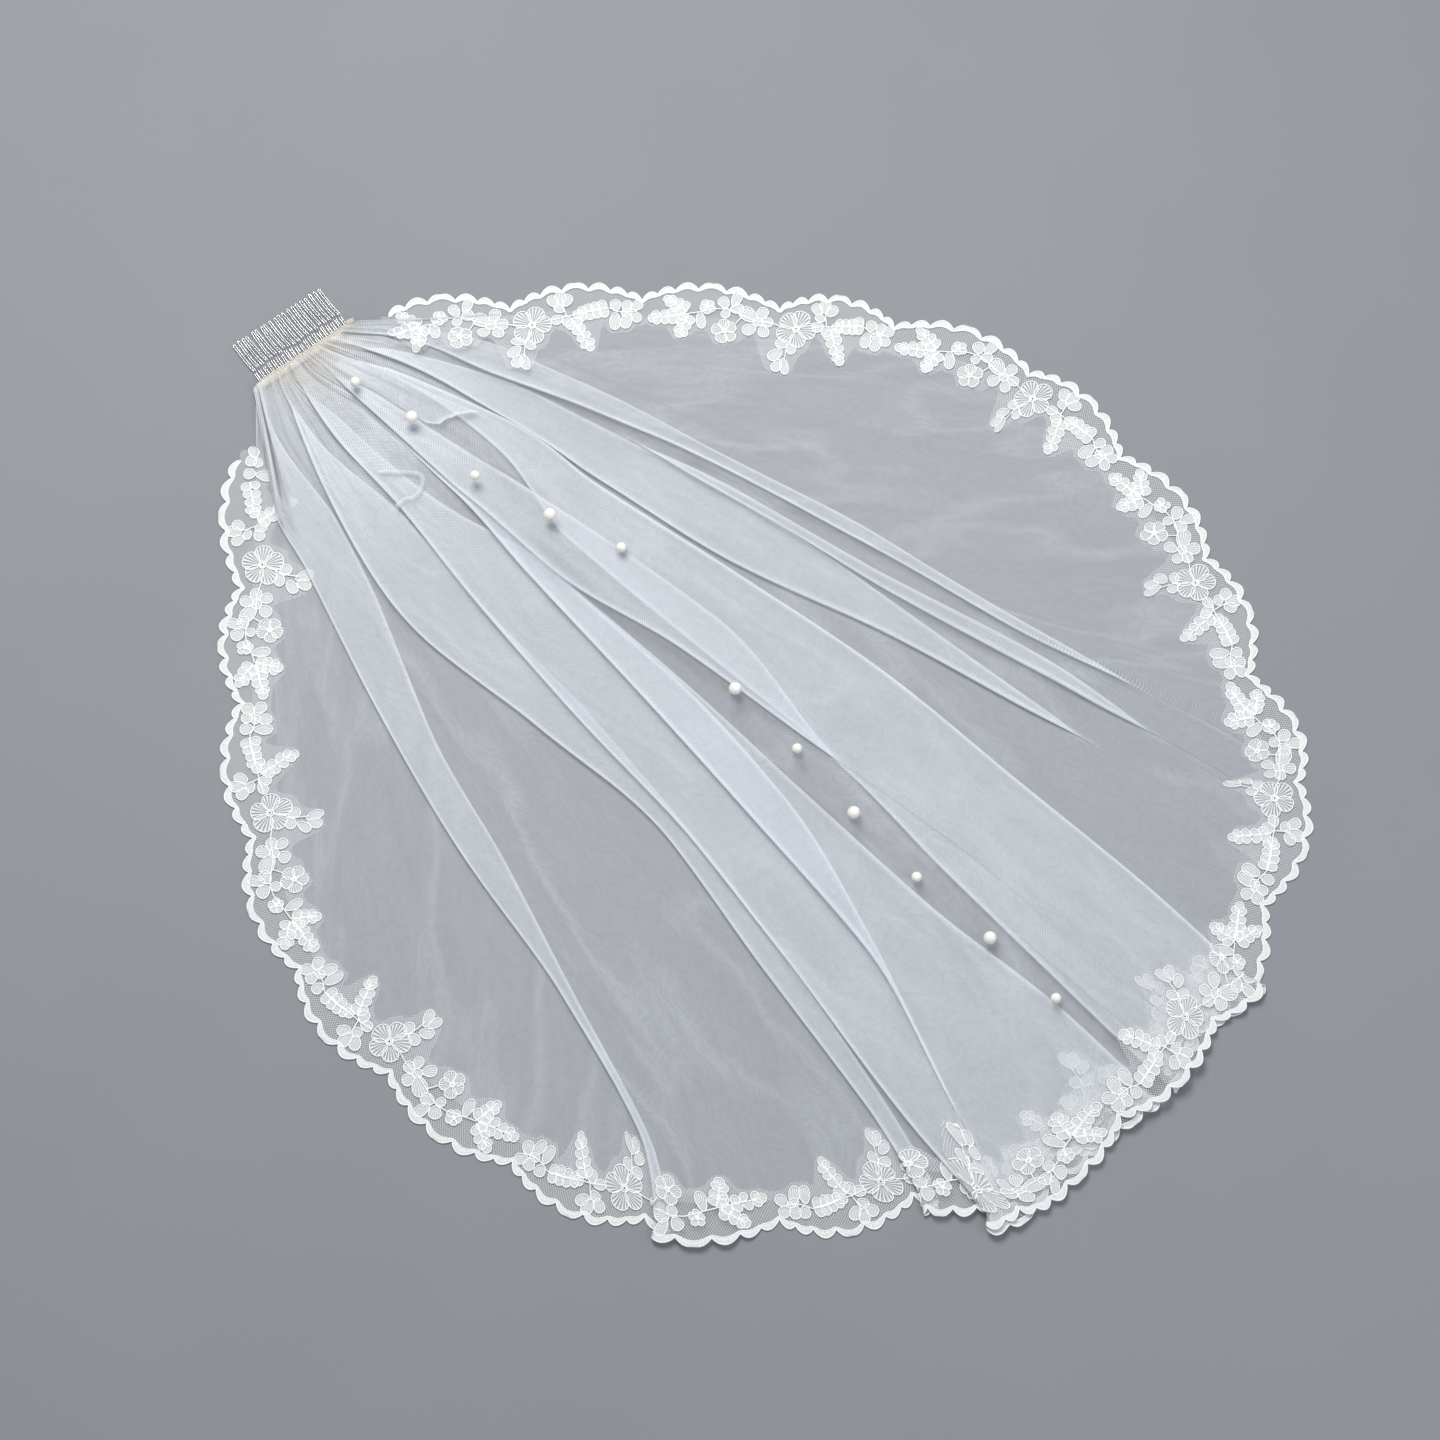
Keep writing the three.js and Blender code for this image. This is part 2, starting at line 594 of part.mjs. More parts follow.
function comb() {
  const group = new THREE.Group();
  group.position.set(COMB.centre[0], COMB.centre[1], 0);
  group.rotation.z = radians(COMB.turn);

  const spine = new THREE.CylinderGeometry(COMB.spineRadius, COMB.spineRadius, COMB.width, 10);
  spine.rotateZ(Math.PI / 2);
  const bar = named('comb_spine', spine, MATERIALS.wire);
  bar.position.set(0, COMB.spineY, COMB.z);
  group.add(bar);

  const tooth = toothGeometry();
  const pitch = (COMB.width - TOOTH.legs - 2 * TOOTH.wire) / (COMB.teeth - 1);
  for (let i = 0; i < COMB.teeth; i++) {
    const mesh = named(`tooth_${number(i)}`, tooth, MATERIALS.wire);
    mesh.position.set((i - (COMB.teeth - 1) / 2) * pitch, COMB.spineY + COMB.spineRadius + GAP, COMB.z);
    group.add(mesh);
  }

  group.add(named('header', headerGeometry(), MATERIALS.binding));
  return group;
}

function pearls() {
  const group = new THREE.Group();
  PEARLS.forEach(({ fan, at, size }, i) => {
    const mesh = named(`pearl_${number(i)}`, new THREE.SphereGeometry(size / 2, 10, 6), MATERIALS.pearl);
    const place = fanPoint(fan, at);
    const reach = (2 * size) / degreeLength(fan, at);
    const under = [-reach, -reach / 2, 0, reach / 2, reach].map((turn) => topHeight(fan + turn, at));
    const rest = Math.max(...under) + (at < GATHER.reach ? GATHER.rise : 0);
    mesh.position.set(place.x, place.y, rest + PEARL_LIFT + size / 2);
    group.add(mesh);
  });
  return group;
}

const veil = new THREE.Group();
veil.add(named('tulle', tulleGeometry(), MATERIALS.tulle));
veil.add(named('lace', laceGeometry(), MATERIALS.lace));
veil.add(comb());
veil.add(pearls());

// The row's origin is the middle of the laid veil, on the floor.
const bounds = new THREE.Box3().setFromObject(veil, true);
const middle = bounds.getCenter(new THREE.Vector3());
veil.position.set(-middle.x, -middle.y, -bounds.min.z);

export default veil;
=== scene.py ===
"""Looks of a lace bridal veil: folded net, corded lace border, sewn pearls and a wire comb.

Lengths are plan millimetres while a piece is worked out, and metres in its mesh. X runs to the
right of the laid veil, Y away from the viewer and Z up. The net and the lace follow one map of
the folded cloth, the same one as the solids: rays fan out from the comb to the hem.
"""
import math

import bmesh
import bpy
import numpy as np
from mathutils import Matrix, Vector


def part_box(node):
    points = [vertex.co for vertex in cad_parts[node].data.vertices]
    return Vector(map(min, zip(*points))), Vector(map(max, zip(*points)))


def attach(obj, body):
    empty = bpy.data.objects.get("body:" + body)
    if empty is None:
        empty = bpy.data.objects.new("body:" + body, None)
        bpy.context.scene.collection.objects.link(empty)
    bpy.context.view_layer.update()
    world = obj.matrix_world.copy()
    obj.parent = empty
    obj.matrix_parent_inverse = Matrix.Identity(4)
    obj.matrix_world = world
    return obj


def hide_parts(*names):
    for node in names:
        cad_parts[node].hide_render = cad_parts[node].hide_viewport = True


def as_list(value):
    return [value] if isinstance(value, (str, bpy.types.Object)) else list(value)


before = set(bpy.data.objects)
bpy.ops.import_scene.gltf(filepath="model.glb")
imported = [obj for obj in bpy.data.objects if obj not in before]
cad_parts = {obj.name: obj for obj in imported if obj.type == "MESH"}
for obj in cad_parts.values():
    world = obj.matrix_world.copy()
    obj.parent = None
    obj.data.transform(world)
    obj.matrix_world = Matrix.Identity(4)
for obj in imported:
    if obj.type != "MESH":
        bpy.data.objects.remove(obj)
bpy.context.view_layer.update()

# Sizes, in millimetres and degrees
STACK = 2.0                 # height from one folded layer to the next
CLOTH_MIDDLE = 0.5          # height of the lowest layer
FLOOR_GAP = 0.1             # least height of a point of a piece that is laid or moved
FOLD_ROUND = 4.0            # overlap from which a fold is a full half round

# A pleat starts to lift the cloth on it at an overlap of -early, and lifts it in full grown
# millimetres later. Beyond its edges the lift holds over one margin and fades over another. The
# margin is wider towards the hem.
COVER = {"early": 2.0, "grown": 8.0, "margin": 4.0, "wider": 28.0}

# Comb with its binding, and pearls
COMB = {"centre": (-348.0, 326.0), "turn": 36.5, "width": 80.0, "teeth": 20, "spine_y": -3.0,
        "z": 1.7, "spine_radius": 1.2, "coil": 0.2, "coil_turns": 62}
TOOTH = {"length": 38.0, "legs": 1.6, "wire": 0.34, "gap": 0.3, "uneven": 0.35,
         "kink_at": 0.3, "kink_side": 0.9, "kink_rise": 0.8, "kink_uneven": 0.6}
BINDING = {"half": 43.0, "out": 2.7, "high": 2.15, "z": 2.75, "veil_out": 1.5, "veil_high": 0.35,
           "fine_pucker": 0.34, "wide_pucker": 0.22}
STITCH = {"count": 26, "thread": 0.16, "out": 3.35, "veil_out": 0.55, "high": 2.5, "slant": 1.5,
          "half_row": 39}
KNOT = {"middle": (42.6, -1.0, 3.0), "half": (3.6, 2.5, 2.0)}
PEARL_COUNT, PEARL_THREAD = 11, 0.22
GATHERED_EDGE = np.array([[-384.0, 300.0], [-312.0, 352.0]])

# Gathers: their rise and pitch, the lift onto the comb, and the share of a ray that each reaches.
GATHER = {"rise": 1.5, "reach": 0.26, "pitch": 44.0, "lift": 3.2, "lift_reach": 1 / 14}

# Layers of net held by a place: what a fold edge and the gathers add to the one, the painted
# highlight on the crests of the gathers' ripples and on the soft creases, the share of a ray over
# which the gathers do, and how uneven the net is.
PLIES = {"edge": 1.9, "gathers": 1.8, "ripples": 1.7, "soft": 0.22, "reach": 0.34, "uneven": 0.10}

# Height and wave lengths of soft creases that run with the rays, how far they sway to the side,
# and the height and wave lengths of the slower rise and fall of laid cloth.
CREASES = {"height": 0.55, "lengths": (95, 150), "sway": 26,
           "settle": 0.35, "settle_lengths": (120, 210)}

# Net: rows of its mesh and how they crowd at the comb, width of a cell, millimetres to a degree
# of hem, how far it stops from the comb and the hem, its least height and half width of a crease.
SHEET = {"rows": 104, "crowding": 1.35, "cell": 3.9, "degree": 6.3, "from_comb": 4.2,
         "from_hem": 13.0, "lowest": 0.35, "crease": 1.7}

# Lace: one repeat is two large scallops, each with seven small ones. It starts at a share of its
# width and reaches its full width over its growth. small is a small scallop's depth to its width.
LACE = {"repeat": 208.0, "width": 62.0, "start": 0.16, "growth": 62.0, "scallops": 7, "bulge": 12.0,
        "small": 0.36, "band": 5.0, "band_end": 1.6, "cord": 0.50, "degree": 6.4, "step": 3.2}
LACE_HEIGHTS = {"ground": 0.22, "band": 0.35, "fill": 0.45, "trim": 0.45, "cord": 0.75, "stem": 0.95}
THICKER = {"stem": 1.1, "ring": 1.2, "trim": 1.05}      # than the cord round a petal
FLOWER_RINGS = ((1.0, 1.1), (0.45, 1.3))    # share of a flower's ring, and height
LACE_DEPTHS = np.linspace(-18, 70, 36)      # columns of the map of the lace, into the veil
LACE_END, GROUND_END = 5.0, 4.0   # petals and ground stop this far before the lace's ends
GROUND = {"step": 2.6, "least": 10.0, "margin": 2.6, "beside": 2.0, "columns": 13}
SLIDE = 19.0                # degrees either side of a fold over which the lace slides along with it

HEM = """fan radius
147 460 160.5 409 173 384.5 188.5 373 204.5 365 220.5 349 238.5 340 255.5 340 271.5 331 288 330
300 357 307 357 319.5 359 331 368 343.5 371 358 385 371 360 386 363 402 358.5 417 367
434 360 448 361 464 380 478 409 490 456"""

# Hem angles at which two large scallops meet. The cloth folded away between the first row's end
# and the second row's start holds FOLDED_SCALLOPS more of them.
CUSPS = [[147, 160.5, 173, 188.5, 204.5, 220.5, 238.5, 255.5, 271.5, 288],
         [343.5, 358, 371, 386, 402, 417, 434, 448, 464, 478, 490]]
FOLDED_SCALLOPS = 9

# Fan angles of both edges of each pleat at these shares of the way from the comb to the hem.
# Where left is larger than right, the pleat has opened out and the net is single.
STATIONS = np.array([0.02, 0.08, 0.20, 0.30, 0.45, 0.60, 0.75, 0.90, 1.00])
PLEATS = [
    ("a", "over", [150, 152, 176, 220, 237, 248, 257.3, 259.8, 257],
     [172, 195, 246, 252, 252.5, 257.5, 259.3, 260.7, 258.6]),
    ("b", "over", [236, 240, 249, 258, 281, 291.5, 290.5, 290.3, 289],
     [231, 250, 284, 288.5, 295.5, 296.3, 294.8, 292.8, 291]),
    ("c", "over", [266, 272, 286, 288, 291.8, 295.5, 295, 295.5, 296],
     [260, 288, 306, 318, 318.5, 317.7, 317.2, 318.5, 318]),
    ("d", "over", [292, 316, 315, 311, 309, 307.4, 306, 300.2, 298],
     [286, 314, 317.5, 317.5, 317.5, 314.5, 307.4, 300.4, 296.8]),
    ("e", "over", [322, 320, 317.5, 317.5, 324, 326, 327, 326, 326],
     [317, 335, 337, 337.5, 336, 326.8, 323, 322, 322]),
    ("f", "under", [366, 362, 348, 330.5, 327.5, 326.5, 323, 321, 320],
     [360, 368, 364, 353, 348.5, 345.5, 341, 337.5, 335]),
    ("g", "over", [390, 384, 366, 355.5, 350.8, 352.1, 351.3, 351.2, 351.5],
     [384, 396, 390, 379, 369, 358, 352.6, 349.5, 349]),
    ("h", "over", [412, 406, 392, 380, 368, 359.4, 357, 355.7, 354],
     [406, 402, 388, 378, 371.5, 362.9, 359.8, 355, 353.4]),
    ("i", "over", [422, 420, 391, 384, 375.6, 369, 362.3, 361, 359],
     [454, 452, 425, 401, 381, 373.3, 364.7, 360.2, 358.3]),
]

# The end of the small flap near the comb, which lies over FLAP's panel.
TONGUE = """fan end
337 0.134  341 0.146  347 0.150  352 0.155  360 0.174"""
FLAP = {"panel": 10, "start": 0.03, "rows": 18, "columns": 25, "lift": 2.6, "curl": 3.0,
        "curl_length": 9.0, "wave": 0.8, "edge": 2.4}

# The small standing loop of net over a panel: its middle line, and its section with plies.
LOOP = """fan at
287 0.150  295 0.150  303 0.156  309 0.166  304 0.176  294 0.184  283 0.192"""
LOOP_SECTION = """out up plies
-2.2 -1.2 1.4  -1.4 1.2 2.6  0 2.2 2.0  1.4 1.2 2.6  2.2 -1.2 1.4"""
LOOP_PANEL, LOOP_LIFT, LOOP_POINTS = 6, 2.2, 34

# Millimetres by which the cloth at a fold edge reaches past the hem line, by the edge's number,
# over REACH_WIDTH degrees to each side. It starts at REACH_FROM of the way from the comb to the
# hem and grows over REACH_OVER more.
REACH = {6: 13.0, 7: 13.0, 8: 13.0, 11: 7.0}
REACH_WIDTH, REACH_FROM, REACH_OVER = 9.0, 0.72, 0.2

# Panels drawn in by TUCK at the hem, with the wide pleat that each lies under. TUCK grows over
# TUCK_WIDTH degrees from the pleat's edges.
TUCK, TUCK_WIDTH = 5.0, 4.0
TUCKED = {4: 2, 5: 2, 11: 5, 12: 5}


def table(text):
    """Columns of a small table whose first line names them."""
    head, *rows = text.split("\n")
    names = head.split()
    values = np.array(" ".join(rows).split(), float).reshape(-1, len(names))
    return {name: values[:, i] for i, name in enumerate(names)}


def ease(x):
    x = np.clip(x, 0, 1)
    return x * x * (3 - 2 * x)


def slopes_of(xs, ys):
    """Slopes at a table's points, for a cubic that doesn't overshoot its peaks."""
    rise = np.diff(ys, axis=-1) / np.diff(xs)
    before, after = rise[..., :-1], rise[..., 1:]
    product = before * after
    inner = np.where(product > 0, 2 * product / np.where(product > 0, before + after, 1), 0)
    return np.concatenate([rise[..., :1], inner, rise[..., -1:]], axis=-1)


def cubic(xs, y0, y1, s0, s1, i, x):
    span = xs[i + 1] - xs[i]
    u = (x - xs[i]) / span
    v = 1 - u
    return y0 * (1 + 2 * u) * v * v + y1 * u * u * (3 - 2 * u) + span * (s0 * u * v * v - s1 * u * u * v)


def interval(xs, x):
    x = np.clip(x, xs[0], xs[-1])
    return x, np.clip(np.searchsorted(xs, x, side="right") - 1, 0, len(xs) - 2)


HEM = table(HEM)
HEM_SLOPES = slopes_of(HEM["fan"], HEM["radius"])
FIRST, LAST = HEM["fan"][0], HEM["fan"][-1]


def hem_point(fan):
    xs, ys = HEM["fan"], HEM["radius"]
    x, i = interval(xs, fan)
    r = cubic(xs, ys[i], ys[i + 1], HEM_SLOPES[i], HEM_SLOPES[i + 1], i, x)
    return np.stack([r * np.cos(np.radians(fan)), r * np.sin(np.radians(fan))], axis=-1)


def comb_point(fan):
    share = ((np.asarray(fan) - FIRST) / (LAST - FIRST))[..., None]
    return GATHERED_EDGE[0] * (1 - share) + GATHERED_EDGE[1] * share


def unit(v):
    return v / np.maximum(np.linalg.norm(v, axis=-1, keepdims=True), 1e-9)


def cross2(a, b):
    return a[..., 0] * b[..., 1] - a[..., 1] * b[..., 0]


def fan_point(fan, at):
    at = np.asarray(at)[..., None]
    return comb_point(fan) * (1 - at) + hem_point(fan) * at


def ray_length(fan):
    return np.linalg.norm(hem_point(fan) - comb_point(fan), axis=-1)


def inward(fan):
    """Unit vector square to the hem, into the veil."""
    along = unit(hem_point(fan + 0.5) - hem_point(fan - 0.5))
    return np.stack([-along[..., 1], along[..., 0]], axis=-1)


def squareness(fan):
    ray = unit(comb_point(fan) - hem_point(fan))
    return np.maximum(0.05, (ray * inward(fan)).sum(-1))


def degree_length(fan, at):
    return np.maximum(np.linalg.norm(fan_point(fan + 0.5, at) - fan_point(fan - 0.5, at), axis=-1), 1e-3)


def across(fan, at):
    """Unit vector across the rays, towards larger fan angles."""
    return unit(fan_point(fan + 0.5, at) - fan_point(fan - 0.5, at))


# The folded sheet. Its edges in the order in which the cloth runs: first end, then right and
# left edge of each pleat, then last end. Panel j runs from edge j to edge j + 1.
EDGES = np.array([[FIRST] * len(STATIONS)]
                 + [side for _, _, left, right in PLEATS for side in (right, left)]
                 + [[LAST] * len(STATIONS)], float)
EDGE_SLOPES = slopes_of(STATIONS, EDGES)
PANELS = len(EDGES) - 1


def edge(index, at):
    x, i = interval(STATIONS, at)
    return cubic(STATIONS, EDGES[index, i], EDGES[index, i + 1],
                 EDGE_SLOPES[index, i], EDGE_SLOPES[index, i + 1], i, x)


def overlap(k, at):
    """Millimetres by which pleat k overlaps itself, below zero where it is open."""
    right, left = edge(2 * k + 1, at), edge(2 * k + 2, at)
    return (right - left) * degree_length((right + left) / 2, at)


def layer_height(panel, fan, at):
    layers = np.zeros(np.broadcast(panel, fan, at).shape)
    margin = (COVER["margin"] + COVER["wider"] * at) / degree_length(fan, at)
    for k, (_, lies, _, _) in enumerate(PLEATS):
        right, left = edge(2 * k + 1, at), edge(2 * k + 2, at)
        beyond = np.maximum(left - fan, fan - right)
        cover = ease((overlap(k, at) + COVER["early"]) / COVER["grown"])
        cover = cover * (1 - ease((beyond - margin) / margin))
        middle = 2 * k + 1
        above = panel > middle if lies == "over" else panel < middle
        layers += cover * np.where(panel == middle, 1, np.where(above, 2, 0))
    return CLOTH_MIDDLE + STACK * layers


def pleat_of(panel):
    """The pleat whose right edge ends a panel or whose fold the panel belongs to."""
    return np.clip(panel // 2, 0, len(PLEATS) - 1)


def round_fold(panel, turn, z, after, wide):
    """Sideways reach and height of the cloth on its way round a fold, at a turn from 0 to 1."""
    angle = np.pi * (turn - 0.5)
    bulge = np.abs(after - z) / 2 * np.clip(wide / FOLD_ROUND, 0, 1)
    out = np.where(panel % 2 == 0, 1, -1) * bulge * np.cos(angle)
    height = (z + after) / 2 + (after - z) / 2 * np.sin(angle)
    return np.where(turn > 0, out, 0), np.where(turn > 0, height, z)


def folded_place(panel, share, turn, at):
    """Fan angle, plan place and height on the folded cloth. turn is above 0 round a fold."""
    fan = edge(panel, at) * (1 - share) + edge(panel + 1, at) * share
    z = layer_height(panel, fan, at)
    after = layer_height(np.minimum(panel + 1, PANELS - 1), fan, at)
    k = pleat_of(panel)
    wide = (edge(2 * k + 1, at) - edge(2 * k + 2, at)) * degree_length(fan, at)
    out, height = round_fold(panel, turn, z, after, wide)
    return fan, fan_point(fan, at) + across(fan, at) * out[..., None], height


# The row frame
def comb_place(points):
    """Plan places of points given along, out of and above the comb's middle."""
    points = np.asarray(points, float)
    turn = math.radians(COMB["turn"])
    x = COMB["centre"][0] + points[..., 0] * math.cos(turn) - points[..., 1] * math.sin(turn)
    y = COMB["centre"][1] + points[..., 0] * math.sin(turn) + points[..., 1] * math.cos(turn)
    return np.stack([x, y, points[..., 2]], axis=-1)


def shift_to_row():
    """Plan millimetres to add so that the comb's spine is where the solids have it."""
    low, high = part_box("comb_spine")
    middle = np.array((low + high) / 2) * 1000
    return middle - comb_place([0, COMB["spine_y"], COMB["z"]])


SHIFT = shift_to_row()


def to_row(points):
    """Plan millimetres to metres in the row frame."""
    return (np.asarray(points, float) + SHIFT) / 1000


# Meshes
def mesh_piece(name, points, faces, finish, uv, values=None):
    """A smooth piece from plan points and faces, with a UV map and point attributes."""
    flat = np.array([int(i) for face in faces for i in face], np.int32)
    starts = np.concatenate([[0], np.cumsum([len(face) for face in faces])[:-1]])
    mesh = bpy.data.meshes.new(name)
    mesh.vertices.add(len(points))
    mesh.vertices.foreach_set("co", to_row(points).astype(np.float32).ravel())
    mesh.loops.add(len(flat))
    mesh.loops.foreach_set("vertex_index", flat)
    mesh.polygons.add(len(faces))
    mesh.polygons.foreach_set("loop_start", starts.astype(np.int32))
    mesh.polygons.foreach_set("use_smooth", np.ones(len(faces), bool))
    mesh.update(calc_edges=True)
    layer = mesh.uv_layers.new(name="cloth")
    layer.data.foreach_set("uv", np.asarray(uv, np.float32)[flat].ravel())
    for key, value in (values or {}).items():
        set_values(mesh, key, value)
    mesh.validate()
    mesh.materials.append(finish)
    return linked(name, mesh)


def linked(name, data):
    """A new object in the scene's own collection."""
    thing = bpy.data.objects.new(name, data)
    bpy.context.scene.collection.objects.link(thing)
    return thing


def set_values(mesh, key, value):
    """Stores numbers, or vectors, as a point attribute."""
    value = np.asarray(value, np.float32)
    kind, field = ("FLOAT", "value") if value.ndim == 1 else ("FLOAT_VECTOR", "vector")
    attribute = mesh.attributes.new(key, kind, "POINT")
    attribute.data.foreach_set(field, value.ravel())


def values_of(mesh, key, field, width):
    values = np.zeros((len(mesh.vertices), width), np.float32)
    mesh.attributes[key].data.foreach_get(field, values.ravel())
    return values


def drop_values(mesh, *keys):
    for key in keys:
        if key in mesh.attributes:
            mesh.attributes.remove(mesh.attributes[key])


def grid_faces(rows, columns):
    """Quads of a grid of points, row after row."""
    r, c = np.meshgrid(np.arange(rows - 1), np.arange(columns - 1), indexing="ij")
    start = (r * columns + c).ravel()
    return np.stack([start, start + columns, start + columns + 1, start + 1], axis=1)


def waves(x, seed, lengths):
    """Smooth seeded ripples of about the given wave lengths, between -1 and 1."""
    rng = np.random.default_rng(seed)
    total = np.zeros_like(x)
    for length in lengths:
        for bend in (0.83, 1.0, 1.27):
            phase = rng.uniform(0, 2 * np.pi)
            total += np.sin(2 * np.pi * x / (length * bend) + phase)
    return total / (3 * len(lengths))


# Node trees
def maths(operation, swap=False):
    """A method of Wire that puts it through a Math node, with a second value if it has one."""
    def apply(self, *others):
        parts = [*others, self] if swap else [self, *others]
        return self.nodes.add("ShaderNodeMath", {"operation": operation}, dict(enumerate(parts)))
    return apply


class Wire:
    """A socket that adds Math nodes as it is used in Python expressions."""

    def __init__(self, nodes, socket):
        self.nodes, self.socket = nodes, socket

    __add__ = __radd__ = maths("ADD")
    __sub__ = maths("SUBTRACT")
    __rsub__ = maths("SUBTRACT", swap=True)
    __mul__ = __rmul__ = maths("MULTIPLY")
    __pow__ = maths("POWER")
    __abs__ = maths("ABSOLUTE")
    sine = maths("SINE")
    least = maths("MINIMUM")
    most = maths("MAXIMUM")

    def smooth(self, low, high):
        settings = {"interpolation_type": "SMOOTHSTEP"}
        return self.nodes.add("ShaderNodeMapRange", settings, {"Value": self, 1: low, 2: high})


class Nodes:
    """Adds nodes to one tree."""

    def __init__(self, tree):
        self.tree = tree

    def add(self, kind, settings=None, sockets=None, out=0):
        node = self.tree.nodes.new(kind)
        for key, value in (settings or {}).items():
            setattr(node, key, value)
        for key, value in (sockets or {}).items():
            self.feed(node.inputs[key], value)
        return Wire(self, node.outputs[out])

    def feed(self, socket, value):
        if isinstance(value, Wire):
            self.tree.links.new(value.socket, socket)
        else:
            socket.default_value = value

    def parts(self, vector):
        node = self.tree.nodes.new("ShaderNodeSeparateXYZ")
        self.feed(node.inputs[0], vector)
        return [Wire(self, out) for out in node.outputs]

    def vector_of(self, x=0.0, y=0.0, z=0.0):
        return self.add("ShaderNodeCombineXYZ", sockets={0: x, 1: y, 2: z})


class Finish(Nodes):
    """A material with one Principled shader, whose constant sockets are set at once."""

    def __init__(self, name, **constants):
        self.material = bpy.data.materials.new(name)
        self.material.use_nodes = True
        super().__init__(self.material.node_tree)
        self.shader = self.tree.nodes["Principled BSDF"]
        for key, value in constants.items():
            self.shader.inputs[key.replace("_", " ").title()].default_value = value

    def set(self, socket, value):
        self.feed(self.shader.inputs[socket], value)

    def object_place(self):
        return self.add("ShaderNodeTexCoord", out=3)

    def cloth(self, along=1.0, over=1.0):
        """The piece's own UV map, in millimetres of cloth, scaled for a pattern."""
        uv = self.add("ShaderNodeUVMap", {"uv_map": "cloth"})
        return self.add("ShaderNodeMapping", sockets={"Vector": uv, "Scale": (along, over, 1)})

    def value(self, name):
        return self.add("ShaderNodeAttribute", {"attribute_name": name}, out=2)

    def vector(self, name):
        return self.add("ShaderNodeAttribute", {"attribute_name": name}, out=1)

    def diamonds(self, slope, cell):
        """Distance from the nearest thread of a diamond mesh, from 0 on the thread to 1."""
        x, y, _ = self.parts(self.cloth())
        turn = math.pi / cell
        one = abs(((x + y * slope) * turn).sine())
        two = abs(((x - y * slope) * turn).sine())
        return one.least(two)

    def noise(self, place, scale, detail=2.0, rough=0.5):
        return self.add("ShaderNodeTexNoise", sockets={"Vector": place, "Scale": scale, "Detail": detail,
                                                       "Roughness": rough})

    def mix(self, share, a, b):
        return self.add("ShaderNodeMix", {"data_type": "RGBA"}, {0: share, 6: a, 7: b}, out=2)

    def bump(self, height, strength, distance):
        normal = self.add("ShaderNodeBump", sockets={"Height": height, "Strength": strength,
                                                     "Distance": distance})
        self.set("Normal", normal)


def colour(r, g, b):
    return (r, g, b, 1.0)


NET_COVER = 0.235           # share of the view that one layer of the net closes


def net_finish():
    """Diamond mesh of fine thread with painted highlight along soft creases. Its attribute "plies" counts
    the layers held by a place, plus painted highlight on ripples and creases.
    """
    finish = Finish("soft net", roughness=0.75, sheen_weight=0.25, sheen_roughness=0.5)
    holes = finish.diamonds(1.25, 2.0).smooth(0.10, 0.62)
    cloudy = finish.noise(finish.cloth(0.055, 0.014), 1.0, 3.0, 0.6)
    speckle = finish.noise(finish.cloth(0.5, 0.5), 1.0, 2.0, 0.7)
    soft = finish.noise(finish.cloth(0.011, 0.0035), 1.0, 3.0, 0.5)
    # Painted highlight: thin lines of denser, brighter net along soft creases that run with the rays.
    crease_highlight = (1 - abs(soft - 0.5) * 22).most(0.0)
    swirl = abs((finish.noise(finish.cloth(0.035, 0.02), 1.0, 2.0, 0.5) * 34).sine())
    single = NET_COVER * (1.45 - 0.95 * holes) * (0.62 + 0.42 * cloudy + 0.28 * speckle)
    single = single * (1 + 0.38 * crease_highlight) * (0.92 + 0.16 * swirl)
    finish.set("Alpha", 1 - (1 - single) ** finish.value("plies"))
    finish.set("Base Color", finish.mix(finish.value("warmth"), colour(0.80, 0.83, 0.87),
                                        colour(0.80, 0.76, 0.69)))
    finish.bump(finish.noise(finish.cloth(0.9, 0.9), 1.0, 1.0), 0.25, 0.0003)
    return finish.material


def lace_net_finish():
    finish = Finish("lace ground net", roughness=0.75, sheen_weight=0.2)
    threads = 1 - finish.diamonds(0.7, 1.9).smooth(0.12, 0.42)
    ragged = finish.noise(finish.cloth(0.45, 0.45), 1.0, 3.0, 0.7)
    kept = 1 - (finish.value("fray") + 0.5 * ragged).smooth(0.98, 1.12)
    finish.set("Alpha", (0.10 + 0.62 * threads) * kept)
    finish.set("Base Color", finish.mix(threads, colour(0.70, 0.72, 0.74), colour(0.80, 0.81, 0.82)))
    finish.bump(threads, 0.4, 0.0002)
    return finish.material


def petal_finish():
    """Sheer stitched fill: threads run from the petal's root to its rim."""
    finish = Finish("petal stitches", roughness=0.6, sheen_weight=0.3)
    along, over, sheer = finish.parts(finish.vector("petal"))
    bearing = finish.add("ShaderNodeMath", {"operation": "ARCTAN2"}, {0: over, 1: along + 0.12})
    stitches = 0.5 + 0.5 * (bearing * 30).sine()
    rim = (along * along + over * over * 3.4).smooth(0.55, 1.0)
    grain = finish.noise(finish.object_place(), 900.0, 2.0)
    full = 0.80 + 0.16 * stitches + 0.2 * (grain - 0.5) - 0.08 * rim
    thin = 0.30 + 0.56 * stitches.smooth(0.3, 0.85) + 0.10 * rim
    finish.set("Alpha", full * (1 - sheer) + thin * sheer)
    finish.set("Base Color", finish.mix(stitches * 0.55 + 0.35 * grain, colour(0.50, 0.51, 0.52),
                                        colour(0.91, 0.91, 0.90)))
    finish.bump(stitches, 0.5, 0.00025)
    return finish.material


